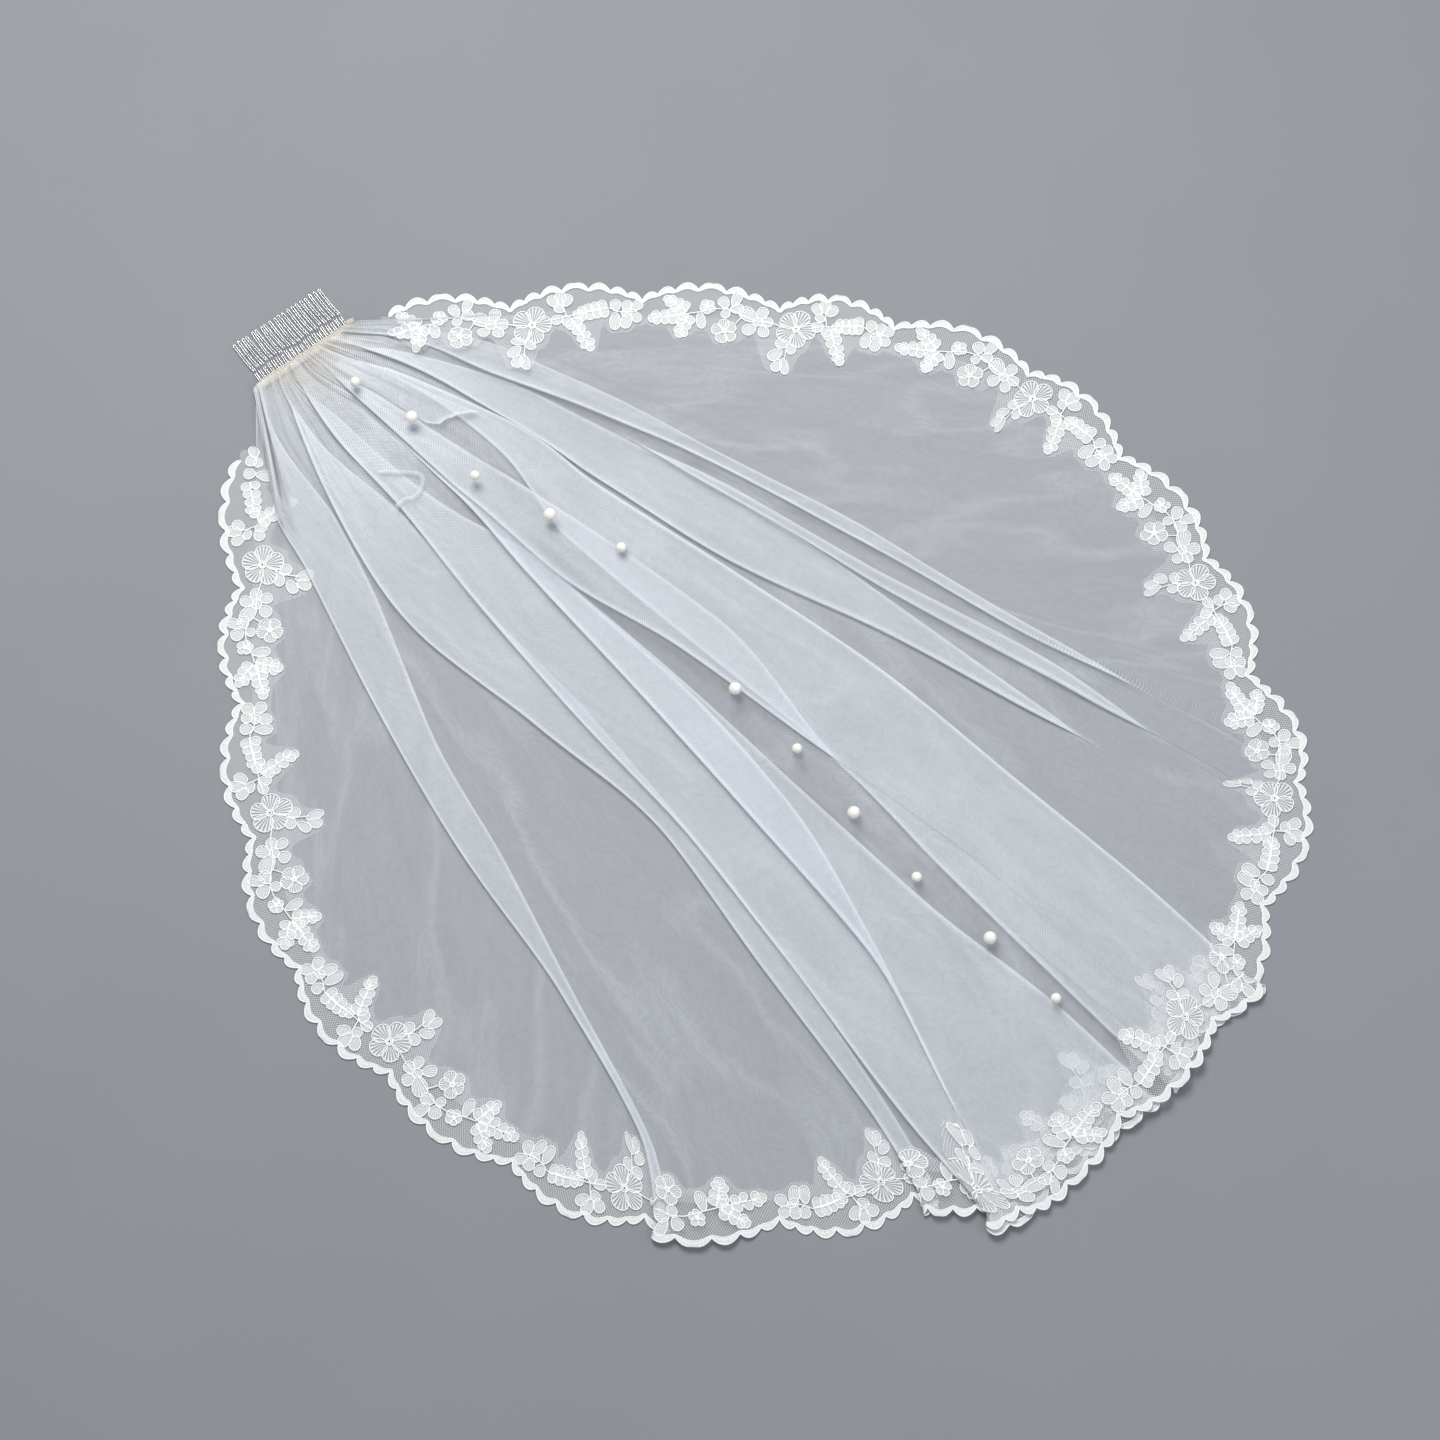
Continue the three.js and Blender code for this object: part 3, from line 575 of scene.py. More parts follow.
def satin_finish():
    """Close satin stitches square to the scalloped edge."""
    finish = Finish("scallop satin stitch", roughness=0.42, sheen_weight=0.3)
    along, _, _ = finish.parts(finish.cloth())
    stitches = 0.5 + 0.5 * (along * (2 * math.pi / 0.9)).sine()
    grain = finish.noise(finish.cloth(0.7, 0.25), 1.0, 2.0)
    finish.set("Base Color", finish.mix(stitches * 0.45 + grain * 0.5, colour(0.70, 0.70, 0.69),
                                        colour(0.93, 0.93, 0.92)))
    finish.set("Alpha", 0.82 + 0.16 * stitches + 0.16 * (grain - 0.5))
    finish.bump(stitches + 0.6 * grain, 0.6, 0.0003)
    return finish.material


def cord_finish(name, light, dark, scale):
    finish = Finish(name, roughness=0.55, sheen_weight=0.3)
    place = finish.object_place()
    fibres = finish.noise(place, scale, 3.0, 0.6)
    shade = finish.noise(place, scale / 14, 2.0)
    finish.set("Base Color", finish.mix(fibres * 0.55 + shade * 0.45, dark, light))
    finish.set("Roughness", 0.45 + 0.25 * fibres)
    finish.bump(fibres, 0.5, 0.0002)
    return finish.material


def binding_finish():
    finish = Finish("gathered cream binding", roughness=0.7, sheen_weight=0.35)
    x, y, _ = finish.parts(finish.cloth())
    weave = (x * (2 * math.pi / 0.55)).sine() * (y * (2 * math.pi / 0.55)).sine()
    mottled = finish.noise(finish.cloth(0.22, 0.3), 1.0, 3.0)
    finish.set("Base Color", finish.mix(mottled + 0.12 * weave, colour(0.50, 0.46, 0.40),
                                        colour(0.74, 0.71, 0.64)))
    finish.set("Roughness", 0.62 + 0.2 * mottled)
    finish.bump(weave + 1.5 * mottled, 0.5, 0.0003)
    return finish.material


def wire_finish():
    finish = Finish("bright comb wire", metallic=1.0, roughness=0.2)
    place = finish.object_place()
    drawn = finish.noise(place, 700.0, 2.0)
    worn = finish.noise(place, 90.0, 3.0)
    finish.set("Base Color", finish.mix(worn.smooth(0.35, 0.7), colour(0.62, 0.62, 0.63),
                                        colour(0.86, 0.86, 0.86)))
    finish.set("Roughness", 0.16 + 0.16 * worn + 0.08 * drawn)
    finish.bump(drawn, 0.08, 0.0001)
    return finish.material


def pearl_finish():
    finish = Finish("ivory pearl", roughness=0.2, coat_weight=0.6, coat_roughness=0.08,
                    sheen_weight=0.15, subsurface_weight=0.15, subsurface_radius=(0.004, 0.003, 0.002))
    place = finish.object_place()
    layers = finish.noise(place, 160.0, 3.0)
    fine = finish.noise(place, 900.0, 2.0)
    finish.set("Base Color", finish.mix(layers, colour(0.82, 0.77, 0.69), colour(0.94, 0.92, 0.88)))
    finish.set("Roughness", 0.16 + 0.14 * layers)
    finish.bump(fine, 0.05, 0.0001)
    return finish.material


def floor_finish():
    finish = Finish("plain pale floor", roughness=0.85)
    grain = finish.noise(finish.object_place(), 6.0, 4.0)
    finish.set("Base Color", finish.mix(grain, colour(0.225, 0.234, 0.250), colour(0.243, 0.252, 0.268)))
    return finish.material


# Geometry Nodes
class Maker(Nodes):
    """One Geometry Nodes tree with named inputs, run once on a piece's points or lines."""

    def __init__(self, name, **sizes):
        tree = bpy.data.node_groups.new(name, "GeometryNodeTree")
        super().__init__(tree)
        face = tree.interface
        face.new_socket("Geometry", in_out="INPUT", socket_type="NodeSocketGeometry")
        face.new_socket("Geometry", in_out="OUTPUT", socket_type="NodeSocketGeometry")
        self.sizes = sizes
        for key, value in sizes.items():
            kind = "NodeSocketInt" if isinstance(value, int) else "NodeSocketFloat"
            face.new_socket(key, in_out="INPUT", socket_type=kind)
        self.inputs = tree.nodes.new("NodeGroupInput")
        self.ends = tree.nodes.new("NodeGroupOutput")

    def given(self, name="Geometry"):
        return Wire(self, self.inputs.outputs[name])

    def named(self, name):
        return self.add("GeometryNodeInputNamedAttribute", {"data_type": "FLOAT"}, {"Name": name})

    def place(self):
        return self.add("GeometryNodeInputPosition")

    def tube(self, lines):
        ring = self.add("GeometryNodeCurvePrimitiveCircle",
                        sockets={"Resolution": self.given("sides"), "Radius": self.given("radius")})
        return self.add("GeometryNodeCurveToMesh",
                        sockets={"Curve": lines, "Profile Curve": ring, "Fill Caps": True})

    def on_points(self, shape, turn, size):
        return self.add("GeometryNodeInstanceOnPoints",
                        sockets={"Points": self.given(), "Instance": shape, "Rotation": turn,
                                 "Scale": size})

    def run(self, whole, source, finish):
        """Ends the tree, runs it on the source object and leaves a plain mesh in it."""
        whole = self.add("GeometryNodeRealizeInstances", sockets={0: whole})
        whole = self.add("GeometryNodeSetMaterial", sockets={0: whole, "Material": finish})
        self.tree.links.new(whole.socket, self.ends.inputs[0])
        modifier = source.modifiers.new("maker", "NODES")
        modifier.node_group = self.tree
        for item in self.tree.interface.items_tree:
            if item.in_out == "INPUT" and item.name in self.sizes:
                modifier[item.identifier] = self.sizes[item.name]
        graph = bpy.context.evaluated_depsgraph_get()
        mesh = bpy.data.meshes.new_from_object(source.evaluated_get(graph))
        source.modifiers.clear()
        source.data = mesh
        mesh.materials.clear()
        mesh.materials.append(finish)
        mesh.polygons.foreach_set("material_index", np.zeros(len(mesh.polygons), np.int32))
        mesh.polygons.foreach_set("use_smooth", np.ones(len(mesh.polygons), bool))
        return source


def points_object(name, points, edges=(), values=None):
    """A mesh of bare points and edges in the units of its own flat drawing."""
    mesh = bpy.data.meshes.new(name)
    mesh.from_pydata([tuple(p) for p in points], [tuple(e) for e in edges], [])
    for key, value in (values or {}).items():
        set_values(mesh, key, value)
    return linked(name, mesh)


def vertices_of(piece):
    flat = np.zeros(3 * len(piece.data.vertices), np.float32)
    piece.data.vertices.foreach_get("co", flat)
    return flat.reshape(-1, 3).astype(float)


def move_vertices(piece, points):
    """Sets a finished piece's points from plan millimetres, none of them under the floor."""
    points = np.asarray(points, float)
    points[:, 2] = np.maximum(points[:, 2], FLOOR_GAP)
    piece.data.vertices.foreach_set("co", to_row(points).astype(np.float32).ravel())
    piece.data.update()


def tidy_normals(piece):
    """Merges doubles and turns the faces of closed shells outwards."""
    shape = bmesh.new()
    shape.from_mesh(piece.data)
    bmesh.ops.remove_doubles(shape, verts=shape.verts, dist=1e-6)
    bmesh.ops.recalc_face_normals(shape, faces=shape.faces)
    shape.to_mesh(piece.data)
    shape.free()


def lines_of(paths, closed=False):
    """Points and edges of several polylines."""
    points, edges = [], []
    for path in paths:
        start = len(points)
        points.extend(path)
        edges.extend((start + i, start + i + 1) for i in range(len(path) - 1))
        if closed:
            edges.append((len(points) - 1, start))
    return points, edges


def tubes(name, paths, radius, sides, finish, closed=False):
    """Round cord or wire along polylines, in the units of its drawing."""
    points, edges = lines_of(paths, closed)
    maker = Maker(name, radius=radius, sides=sides)
    curves = maker.add("GeometryNodeMeshToCurve", sockets={0: maker.given()})
    return maker.run(maker.tube(curves), points_object(name, points, edges), finish)


# Tulle
FOLD_TURNS = (0.2, 0.5, 0.8)       # places round a fold between two panels of the net
FOLD_LENGTH = 3                    # millimetres of cloth in the turn of a fold
PATTERN_STEP = 371.0               # shift of the net's pattern from one panel to the next
LEAST_WIDTH, LEAST_CELLS = 8, 6    # of a panel of the net


def sheet_columns():
    """Panel, share and turn of each column of the net's mesh."""
    columns = []
    for panel in range(PANELS):
        width = np.abs(EDGES[panel + 1] - EDGES[panel]) * degree_length(EDGES[panel], STATIONS)
        cells = max(LEAST_CELLS, round(max(width.max(), LEAST_WIDTH) / SHEET["cell"]))
        for i in range(cells + 1):
            even = i / cells
            closer = (1 - math.cos(math.pi * even)) / 2
            columns.append((panel, 0.55 * even + 0.45 * closer, 0.0))
        if panel < PANELS - 1:
            columns.extend((panel, 1.0, turn) for turn in FOLD_TURNS)
    return [np.array(values) for values in zip(*columns)]


def hem_reach(panel, fan):
    """Millimetres by which the cloth reaches past the hem line, near some of the fold edges."""
    total = np.zeros(np.shape(fan))
    for index, reach in REACH.items():
        near = (panel == index - 1) | (panel == index)
        part = reach * ease(1 - np.abs(fan - EDGES[index, -1]) / REACH_WIDTH)
        total = np.maximum(total, np.where(near, part, 0))
    for lower, k in TUCKED.items():
        right, left = EDGES[2 * k + 1, -1], EDGES[2 * k + 2, -1]
        covered = ease((fan - left) / TUCK_WIDTH) * ease((right - fan) / TUCK_WIDTH)
        total -= np.where(panel == lower, TUCK * covered, 0)
    return total


SHARE_HALVINGS, RAY_HALVINGS = 22, 34      # of the searches for a place on a ray and for its ray


def solve_station(panel, share, wanted):
    """Share of the way along its own ray at which each place has the wanted station."""
    low, high = np.zeros_like(share), np.ones_like(share)
    for _ in range(SHARE_HALVINGS):
        middle = (low + high) / 2
        fan = edge(panel, middle) * (1 - share) + edge(panel + 1, middle) * share
        short = middle < wanted(fan)
        low, high = np.where(short, middle, low), np.where(short, high, middle)
    return high


def tongue():
    """The small flap near the comb whose curled end closes the open triangle between two pleats."""
    shape = table(TONGUE)
    fan = np.linspace(shape["fan"][0], shape["fan"][-1], FLAP["columns"])
    step = np.linspace(0, 1, FLAP["rows"])[:, None]
    end = np.interp(fan, shape["fan"], shape["end"])
    at = FLAP["start"] * (1 - step) + end * step
    fan = np.broadcast_to(fan, at.shape)
    before_end = (end - at) * ray_length(fan)
    curl = FLAP["curl"] * ease(1 - before_end / FLAP["curl_length"])
    z = layer_height(FLAP["panel"], fan, at) + FLAP["lift"] + curl + FLAP["wave"] * np.sin(fan / 2)
    points = np.concatenate([fan_point(fan, at), z[..., None]], axis=-1).reshape(-1, 3)
    plies = 1.5 + 3.0 * np.exp(-(before_end / FLAP["edge"]) ** 2) + 1.4 * (1 - ease(step * 3))
    return points, at.shape, plies.ravel()


def loop():
    """The small standing loop of net beside the third pleat."""
    path, section = table(LOOP), table(LOOP_SECTION)
    known = np.arange(len(path["fan"]))
    step = np.linspace(0, known[-1], LOOP_POINTS)
    fan, at = (np.interp(step, known, path[key]) for key in ("fan", "at"))
    for _ in range(3):
        for line in (fan, at):
            line[1:-1] = (line[:-2] + 2 * line[1:-1] + line[2:]) / 4
    middle = fan_point(fan, at)
    along = unit(np.gradient(middle, axis=0))
    side = np.stack([-along[:, 1], along[:, 0]], axis=-1)
    z = layer_height(LOOP_PANEL, fan, at) + LOOP_LIFT
    rows = [np.column_stack([middle + side * out, z + up])
            for out, up in zip(section["out"], section["up"])]
    return np.vstack(rows), (len(rows), len(fan)), np.repeat(section["plies"], len(fan))


def mesh_stations(panel, share):
    """Where each point of the net's mesh is on its ray: rows crowd together near the comb."""
    step = (np.linspace(0, 1, SHEET["rows"]) ** SHEET["crowding"])[:, None]
    line = unit(GATHERED_EDGE[1] - GATHERED_EDGE[0])

    def wanted(fan):
        off_comb = np.maximum(cross2(hem_point(fan) - comb_point(fan), line), SHEET["from_comb"])
        start = SHEET["from_comb"] / off_comb
        end = 1 - SHEET["from_hem"] / (ray_length(fan) * squareness(fan))
        return start + (np.maximum(end, start + 0.02) - start) * step

    return solve_station(panel, share, wanted)


def net_plies(panel, fan, at, fabric, ripple, soft):
    """Plies: one on the open sheet, more at fold edges and the gathered edge; painted highlight where
    ripples and creases rise.
    """
    crease = 0
    for index, pleat, inner in ((panel, pleat_of(panel - 1), panel > 0),
                                (panel + 1, pleat_of(panel), panel < PANELS - 1)):
        away = np.abs(fan - edge(index, at)) * degree_length(fan, at)
        folded = ease((overlap(pleat, at) + 3) / 6)
        crease = crease + np.where(inner, np.exp(-(away / SHEET["crease"]) ** 2), 0) * folded
    gathers = (1 - ease(at / PLIES["reach"])) ** 2
    # The ripples and soft terms are painted highlight: more plies, so brighter net, where the gathers'
    # ripples and the soft creases rise.
    plies = 1 + PLIES["edge"] * crease + gathers * (PLIES["gathers"] + PLIES["ripples"] * ripple)
    plies = plies + PLIES["soft"] * soft
    return plies * (1 + PLIES["uneven"] * waves(fabric, 11, [17, 31]) * (1 - 0.6 * at))


def tulle_piece():
    panel, share, turn = (np.repeat(values[None], SHEET["rows"], 0) for values in sheet_columns())
    at = mesh_stations(panel, share)
    fan, plan, z = folded_place(panel, share, turn, at)
    outward = hem_reach(panel, fan) * ease((at - REACH_FROM) / REACH_OVER)
    plan = plan - inward(fan) * outward[..., None]

    # Fabric position along the hem, for gathers and long soft creases that run with the rays
    hem_width = np.abs(np.diff(EDGES[:, -1])) * SHEET["degree"]
    fabric = np.concatenate([[0], np.cumsum(hem_width)])[panel] + share * hem_width[panel]
    ripple = waves(fabric, 3, [GATHER["pitch"], GATHER["pitch"] / 2.3])
    soft = waves(fabric + CREASES["sway"] * np.sin(at * 5 + panel), 5, CREASES["lengths"])
    soft = soft * ease(at * 3) * CREASES["height"]
    settle = waves(fabric * 0.6 + ray_length(fan) * at * 0.5, 8, CREASES["settle_lengths"])
    settle = settle * CREASES["settle"]
    gathered = (1 - ease(at / GATHER["reach"])) * GATHER["rise"] * (1 + ripple)
    lift = GATHER["lift"] * ease(1 - at / GATHER["lift_reach"])
    z = np.maximum(z + gathered + soft + settle, SHEET["lowest"]) + lift

    width = np.abs(edge(panel + 1, at) - edge(panel, at)) * degree_length(fan, at)
    along = (share - 0.5) * width + PATTERN_STEP * panel + turn * FOLD_LENGTH
    uv = np.stack([along, at * ray_length(fan)], axis=-1).reshape(-1, 2)
    points = np.concatenate([plan, z[..., None]], axis=-1).reshape(-1, 3)
    faces = grid_faces(*at.shape)
    plies = net_plies(panel, fan, at, fabric, ripple, soft).ravel()
    warmth = ((1 - ease(at / 0.07)) * 0.85).ravel()
    for more, shape, more_plies in (tongue(), loop()):
        faces = np.vstack([faces, grid_faces(*shape) + len(points)])
        points = np.vstack([points, more])
        uv = np.vstack([uv, more[:, :2]])
        plies = np.concatenate([plies, more_plies])
        warmth = np.concatenate([warmth, np.zeros(len(more))])
    return mesh_piece("tulle_sheet", points, faces, net_finish(), uv, {"plies": plies, "warmth": warmth})


# Lace
HEM_TURNS = (0.17, 0.39, 0.61, 0.83)      # places round a fold between two panels of the lace
FOLDED_AT = 0.95            # a pleat that is still folded here folds the lace too
EDGE_SHARES = np.linspace(0.55, 1.0, 60)      # stretch of a pleat's edge that the lace follows
FOOT_BEARINGS = np.linspace(-25, 25, 501)     # degrees to each side searched for the nearest hem
SECOND_ROUND = 140          # a smaller bearing lies past the fan's first full turn


class HemMap:
    """Where each place of the flat lace lies on the folded hem.

    The lace is drawn flat, in millimetres along the hem's cusps (u), into the veil (v) and off the
    cloth (h), and then laid on the folded hem.
    """

    def __init__(self):
        self.panel, fan, turn = (np.array(values) for values in zip(*self.stations()))
        panel, fans = self.panel[:, None], fan[:, None] + self.fold_shift(self.panel, fan)
        plan = hem_point(fans) + inward(fans) * LACE_DEPTHS[:, None]
        ray, at = self.ray_of(plan)
        plan = plan - inward(fans) * hem_reach(panel, fans)[..., None]
        z = layer_height(panel, ray, at)
        after = layer_height(np.minimum(panel + 1, PANELS - 1), ray, at)
        out, height = round_fold(panel, turn[:, None], z, after, overlap(pleat_of(panel), at))
        plan = plan + across(ray, np.clip(at, 0.05, 1)) * out[..., None]
        self.places = np.concatenate([plan, height[..., None]], axis=-1)
        at_cusp = self.places[:, np.argmin(abs(LACE_DEPTHS))]
        steps = np.linalg.norm(np.diff(at_cusp, axis=0), axis=-1)
        self.along = np.concatenate([[0], np.cumsum(np.maximum(steps, 1e-4))])
        self.length = self.along[-1]
        du = np.gradient(self.places, self.along, axis=0)
        dv = np.gradient(self.places, LACE_DEPTHS, axis=1)
        self.normals = unit(np.cross(du, dv))
        before, after = ([self.cloth_at(angle, fan) for angle in row] for row in CUSPS)
        folded = np.linspace(before[-1], after[0], FOLDED_SCALLOPS + 1)[1:-1]
        self.cusps = np.concatenate([before, folded, after])

    @staticmethod
    def stations():
        """Panel, hem fan and turn of each row of the map, in the order of the cloth."""
        rows = []
        for panel in range(PANELS):
            first, last = EDGES[panel:panel + 2, -1]
            steps = max(2, round(abs(last - first) * LACE["degree"] / LACE["step"]))
            rows.extend((panel, first + (last - first) * i / steps, 0.0) for i in range(steps + 1))
            k = panel // 2
            if panel < PANELS - 1 and EDGES[2 * k + 1, -1] > EDGES[2 * k + 2, -1]:
                rows.extend((panel, last, turn) for turn in HEM_TURNS)
        return rows

    def cloth_at(self, angle, fan):
        """Place along the cloth of a hem angle on a panel that runs forwards."""
        for panel in range(PANELS):
            rows = self.panel == panel
            if fan[rows][0] < fan[rows][-1] and fan[rows][0] <= angle <= fan[rows][-1]:
                return np.interp(angle, fan[rows], self.along[rows])

    def place_of(self, count):
        """Place along the cloth for a count of large scallops from the first lace end."""
        return np.interp(count, np.arange(len(self.cusps)), self.cusps)

    def count_of(self, u):
        return np.interp(u, self.cusps, np.arange(len(self.cusps)))

    def fold_shift(self, panel, fan):
        """Degrees by which each depth slides along the hem, so that the lace folds with the net."""
        shifts = np.zeros((PANELS + 1, len(LACE_DEPTHS)))
        folded = [index for index in range(1, PANELS) if overlap((index - 1) // 2, FOLDED_AT) > 0]
        for index in folded:
            line = fan_point(edge(index, EDGE_SHARES), EDGE_SHARES)
            feet = np.array([self.foot(point) for point in line])
            order = np.argsort(feet[:, 1])
            shifts[index] = np.interp(LACE_DEPTHS, feet[order, 1], feet[order, 0]) - EDGES[index, -1]
        for index in set(range(1, PANELS)) - set(folded):
            for other in folded:
                if not any(min(index, other) < middle < max(index, other) for middle in folded):
                    apart = abs(EDGES[index, -1] - EDGES[other, -1])
                    shifts[index] += shifts[other] * max(0, 1 - apart / SLIDE)
        total = np.zeros((len(panel), len(LACE_DEPTHS)))
        for j in range(PANELS):
            rows = panel == j
            first, last = EDGES[j:j + 2, -1]
            reach = min(max(abs(last - first), 1e-6), SLIDE)
            for index, end in ((j, first), (j + 1, last)):
                near = np.clip(1 - abs(fan[rows] - end) / reach, 0, 1)
                total[rows] += near[:, None] * shifts[index]
        return total

    @staticmethod
    def foot(point):
        """Hem fan and depth of the nearest place on the hem line."""
        bearing = math.degrees(math.atan2(point[1], point[0])) % 360
        bearing += 360 if bearing < SECOND_ROUND else 0
        near = bearing + FOOT_BEARINGS
        apart = hem_point(near) - point
        i = int(np.argmin((apart ** 2).sum(-1)))
        return near[i], float((-apart[i] * inward(near[i])).sum())

    @staticmethod
    def ray_of(plan):
        """Fan angle and station of plan points."""
        low, high = np.full(plan.shape[:-1], FIRST), np.full(plan.shape[:-1], LAST)
        for _ in range(RAY_HALVINGS):
            middle = (low + high) / 2
            start = comb_point(middle)
            side = cross2(hem_point(middle) - start, plan - start)
            low, high = np.where(side > 0, middle, low), np.where(side > 0, high, middle)
        start, end = comb_point(low), hem_point(low)
        at = ((plan - start) * (end - start)).sum(-1) / ((end - start) ** 2).sum(-1)
        return low, np.clip(at, 0.02, 1.1)

    def lay(self, points):
        """Flat u, v, h to plan millimetres."""
        u, v, h = points[:, 0], points[:, 1], points[:, 2]
        u = np.clip(u, 0, self.length - 1e-6)
        i = np.clip(np.searchsorted(self.along, u, side="right") - 1, 0, len(self.along) - 2)
        s = ((u - self.along[i]) / (self.along[i + 1] - self.along[i]))[:, None]
        step = LACE_DEPTHS[1] - LACE_DEPTHS[0]
        place = np.clip((v - LACE_DEPTHS[0]) / step, 0, len(LACE_DEPTHS) - 1.001)
        j = place.astype(int)
        t = (place - j)[:, None]

        def blend(grid):
            return ((grid[i, j] * (1 - t) + grid[i, j + 1] * t) * (1 - s)
                    + (grid[i + 1, j] * (1 - t) + grid[i + 1, j + 1] * t) * s)
        return blend(self.places) + unit(blend(self.normals)) * h[:, None]


HEM_MAP = HemMap()
LARGE = len(HEM_MAP.cusps) - 1      # large scallops in all
HALF = LACE["repeat"] / 2           # length of one large scallop in the drawing

# One repeat of the lace, two large scallops long. Petals are given by their middles.
PETALS = """u v turn long wide
4.7 4.0 205 6.4 5.4  4.7 12.4 125 6.4 5.4  13 16 75 9.2 5.4  22 15.5 85 9.2 5.4
12 3.4 262 6.0 5.2  20.6 3.0 268 6.0 5.2  12.5 9.2 20 5.4 4.4
58 -3 238 6.6 5.0  63.5 -6.4 265 7.8 5.2  70 -3.2 302 6.8 5.2  66 3.4 330 5.2 4.4
61 14 110 6.2 5.2  67.5 11.6 25 6.2 5.0
99.5 27.5 352 6.4 5.0  92 31.5 128 6.4 5.0  104 36.5 35 7.4 5.2  97 46 104 9.2 4.8  103 45 62 7.4 5.0
111.8 10.7 172 6.6 5.4  116.7 3.6 242 6.8 5.6  114.6 17.6 108 6.4 5.2  125 17.6 40 6.8 5.6
126.4 5.4 322 10.2 7.2  119 11 0 5.2 4.6
136.2 1.6 192 6.6 5.6  137 -6.4 250 9.0 4.8  146 -2.8 302 6.6 5.6  144.5 6 60 5.4 4.6
163 14 98 9.4 5.0"""
FLOWERS = """u v petals long wide ring first sheer
88 14.5 5 13.6 13.0 2.7 33 1
143.5 20.6 5 8.6 7.8 1.9 70 0.55
158.4 2.2 5 4.9 4.5 1.3 20 0"""
SPRAYS = """u v tip_u tip_v pairs long wide lean
27 4.6 53 9.0 4 6.0 5.0 62
57 11 42 38 4 6.2 4.8 46
172 9 178.5 28 3 6.0 4.8 52
173 8 190 -3.6 3 5.8 4.6 50
174 10 202 15 4 6.0 4.8 52"""
LEAF, EAR = 1.5, 1.36       # how much larger loose petals and those on sprays are sewn
# How unevenly petals are sewn: place along and into the lace, turn in radians, length and width.
UNEVEN = np.array([0.25, 0.25, 0.07, 0.04, 0.05])
STEMS = [[(4, 8), (12, 9), (20, 8), (27, 5), (40, 6), (53, 9), (62, 10), (72, 12)],
         [(60, 10), (62, 3), (63, -2)], [(90, 20), (95, 30), (97, 42)],
         [(100, 14), (110, 11), (122, 10), (131, 7), (141, 3), (151, 3)],
         [(131, 7), (136, 14)], [(151, 3), (164, 7), (172, 9)], [(137, 0), (137, -4)]]


def one_repeat():
    """Petals as rows of root u, root v, turn, length, width, sheerness, and flower centres."""
    rows = []
    petals, flowers, sprays = table(PETALS), table(FLOWERS), table(SPRAYS)

    def petal(u, v, turn, long, wide, sheer):
        rows.append((u - math.cos(turn) * long / 2, v - math.sin(turn) * long / 2, turn, long, wide, sheer))

    for u, v, turn, long, wide in zip(*petals.values()):
        petal(u, v, math.radians(turn), long * LEAF, wide * LEAF, 0.12)
    for u, v, count, long, wide, ring, first, sheer in zip(*flowers.values()):
        for i in range(int(count)):
            turn = math.radians(first) + 2 * math.pi * i / count
            reach = ring * 0.7 + long / 2
            fuller = wide * (1 if sheer == 1 else 1.12)
            petal(u + math.cos(turn) * reach, v + math.sin(turn) * reach, turn, long, fuller, sheer)
    for u, v, tip_u, tip_v, pairs, long, wide, lean in zip(*sprays.values()):
        heading = math.atan2(tip_v - v, tip_u - u)
        for i in range(int(pairs)):
            share = (i + 0.35) / (pairs + 0.55)
            size = 1 - 0.24 * share
            for side in (1, -1):
                turn = heading + side * math.radians(lean)
                out = long * size * 0.6
                petal(u + (tip_u - u) * share + math.cos(turn) * out,
                      v + (tip_v - v) * share + math.sin(turn) * out, turn, long * size * EAR,
                      wide * size * EAR, 0)
        petal(tip_u - math.cos(heading) * long * 0.4, tip_v - math.sin(heading) * long * 0.4,
              heading, long * EAR, wide * EAR, 0)
    return np.array(rows), list(zip(flowers["u"], flowers["v"], flowers["ring"]))


def lace_limit(u):
    """How far the lace reaches into the veil: it starts narrow at both of its ends."""
    ends = np.minimum(u, HEM_MAP.length - u)
    return LACE["width"] * (LACE["start"] + (1 - LACE["start"]) * ease(ends / LACE["growth"]))


def clear_of_ends(u):
    return (u > LACE_END) & (u < HEM_MAP.length - LACE_END)


def all_petals():
    """Every petal of the lace, each a little different, and the rings of the flowers."""
    petals, rings = one_repeat()
    rng = np.random.default_rng(21)
    rows, circles = [], []
    for n in range(0, LARGE, 2):
        for u, v, turn, long, wide, sheer in petals:
            tip_v = v + math.sin(turn) * long
            u = HEM_MAP.place_of(n + u / HALF)
            if not clear_of_ends(u) or max(v, tip_v) > lace_limit(u):
                continue
            aside, inwards, turned, longer, wider = rng.normal(0, 1, 5) * UNEVEN
            rows.append((u + aside, v + inwards, turn + turned, long * (1 + longer),
                         wide * (1 + wider), sheer))
        for u, v, ring in rings:
            u = HEM_MAP.place_of(n + u / HALF)
            if clear_of_ends(u) and v + 8 < lace_limit(u):
                circles.append((u, v, ring))
    return np.array(rows), circles


def spread(share):
    """Share of a large scallop's small ones that lie before a place. The middle ones are wider."""
    return share + 0.05 * np.sin(2 * np.pi * share)


def scallop_edge(count):
    """How far the hem bulges beyond its cusps at a count of large scallops, from 0 to LARGE."""
    share = count % 1
    small = (spread(share) * LACE["scallops"]) % 1
    deep = LACE["small"] * HALF / LACE["scallops"] * (1 - 0.3 * np.cos(2 * np.pi * share))
    return LACE["bulge"] * np.sin(np.pi * share) ** 0.7 + deep * np.sin(np.pi * small) ** 0.8


def scallop_joints():
    """Counts at which small scallops meet."""
    share = np.linspace(0, 1, 401)
    joints = np.interp(np.arange(LACE["scallops"]) / LACE["scallops"], spread(share), share)
    return np.append((np.arange(LARGE)[:, None] + joints).ravel(), LARGE)


def petal_points(name, rows, lift):
    return points_object(name, [(u, v, lift) for u, v, *_ in rows],
                         values={"turn": rows[:, 2], "long": rows[:, 3], "wide": rows[:, 4],
                                 "sheer": rows[:, 5]})


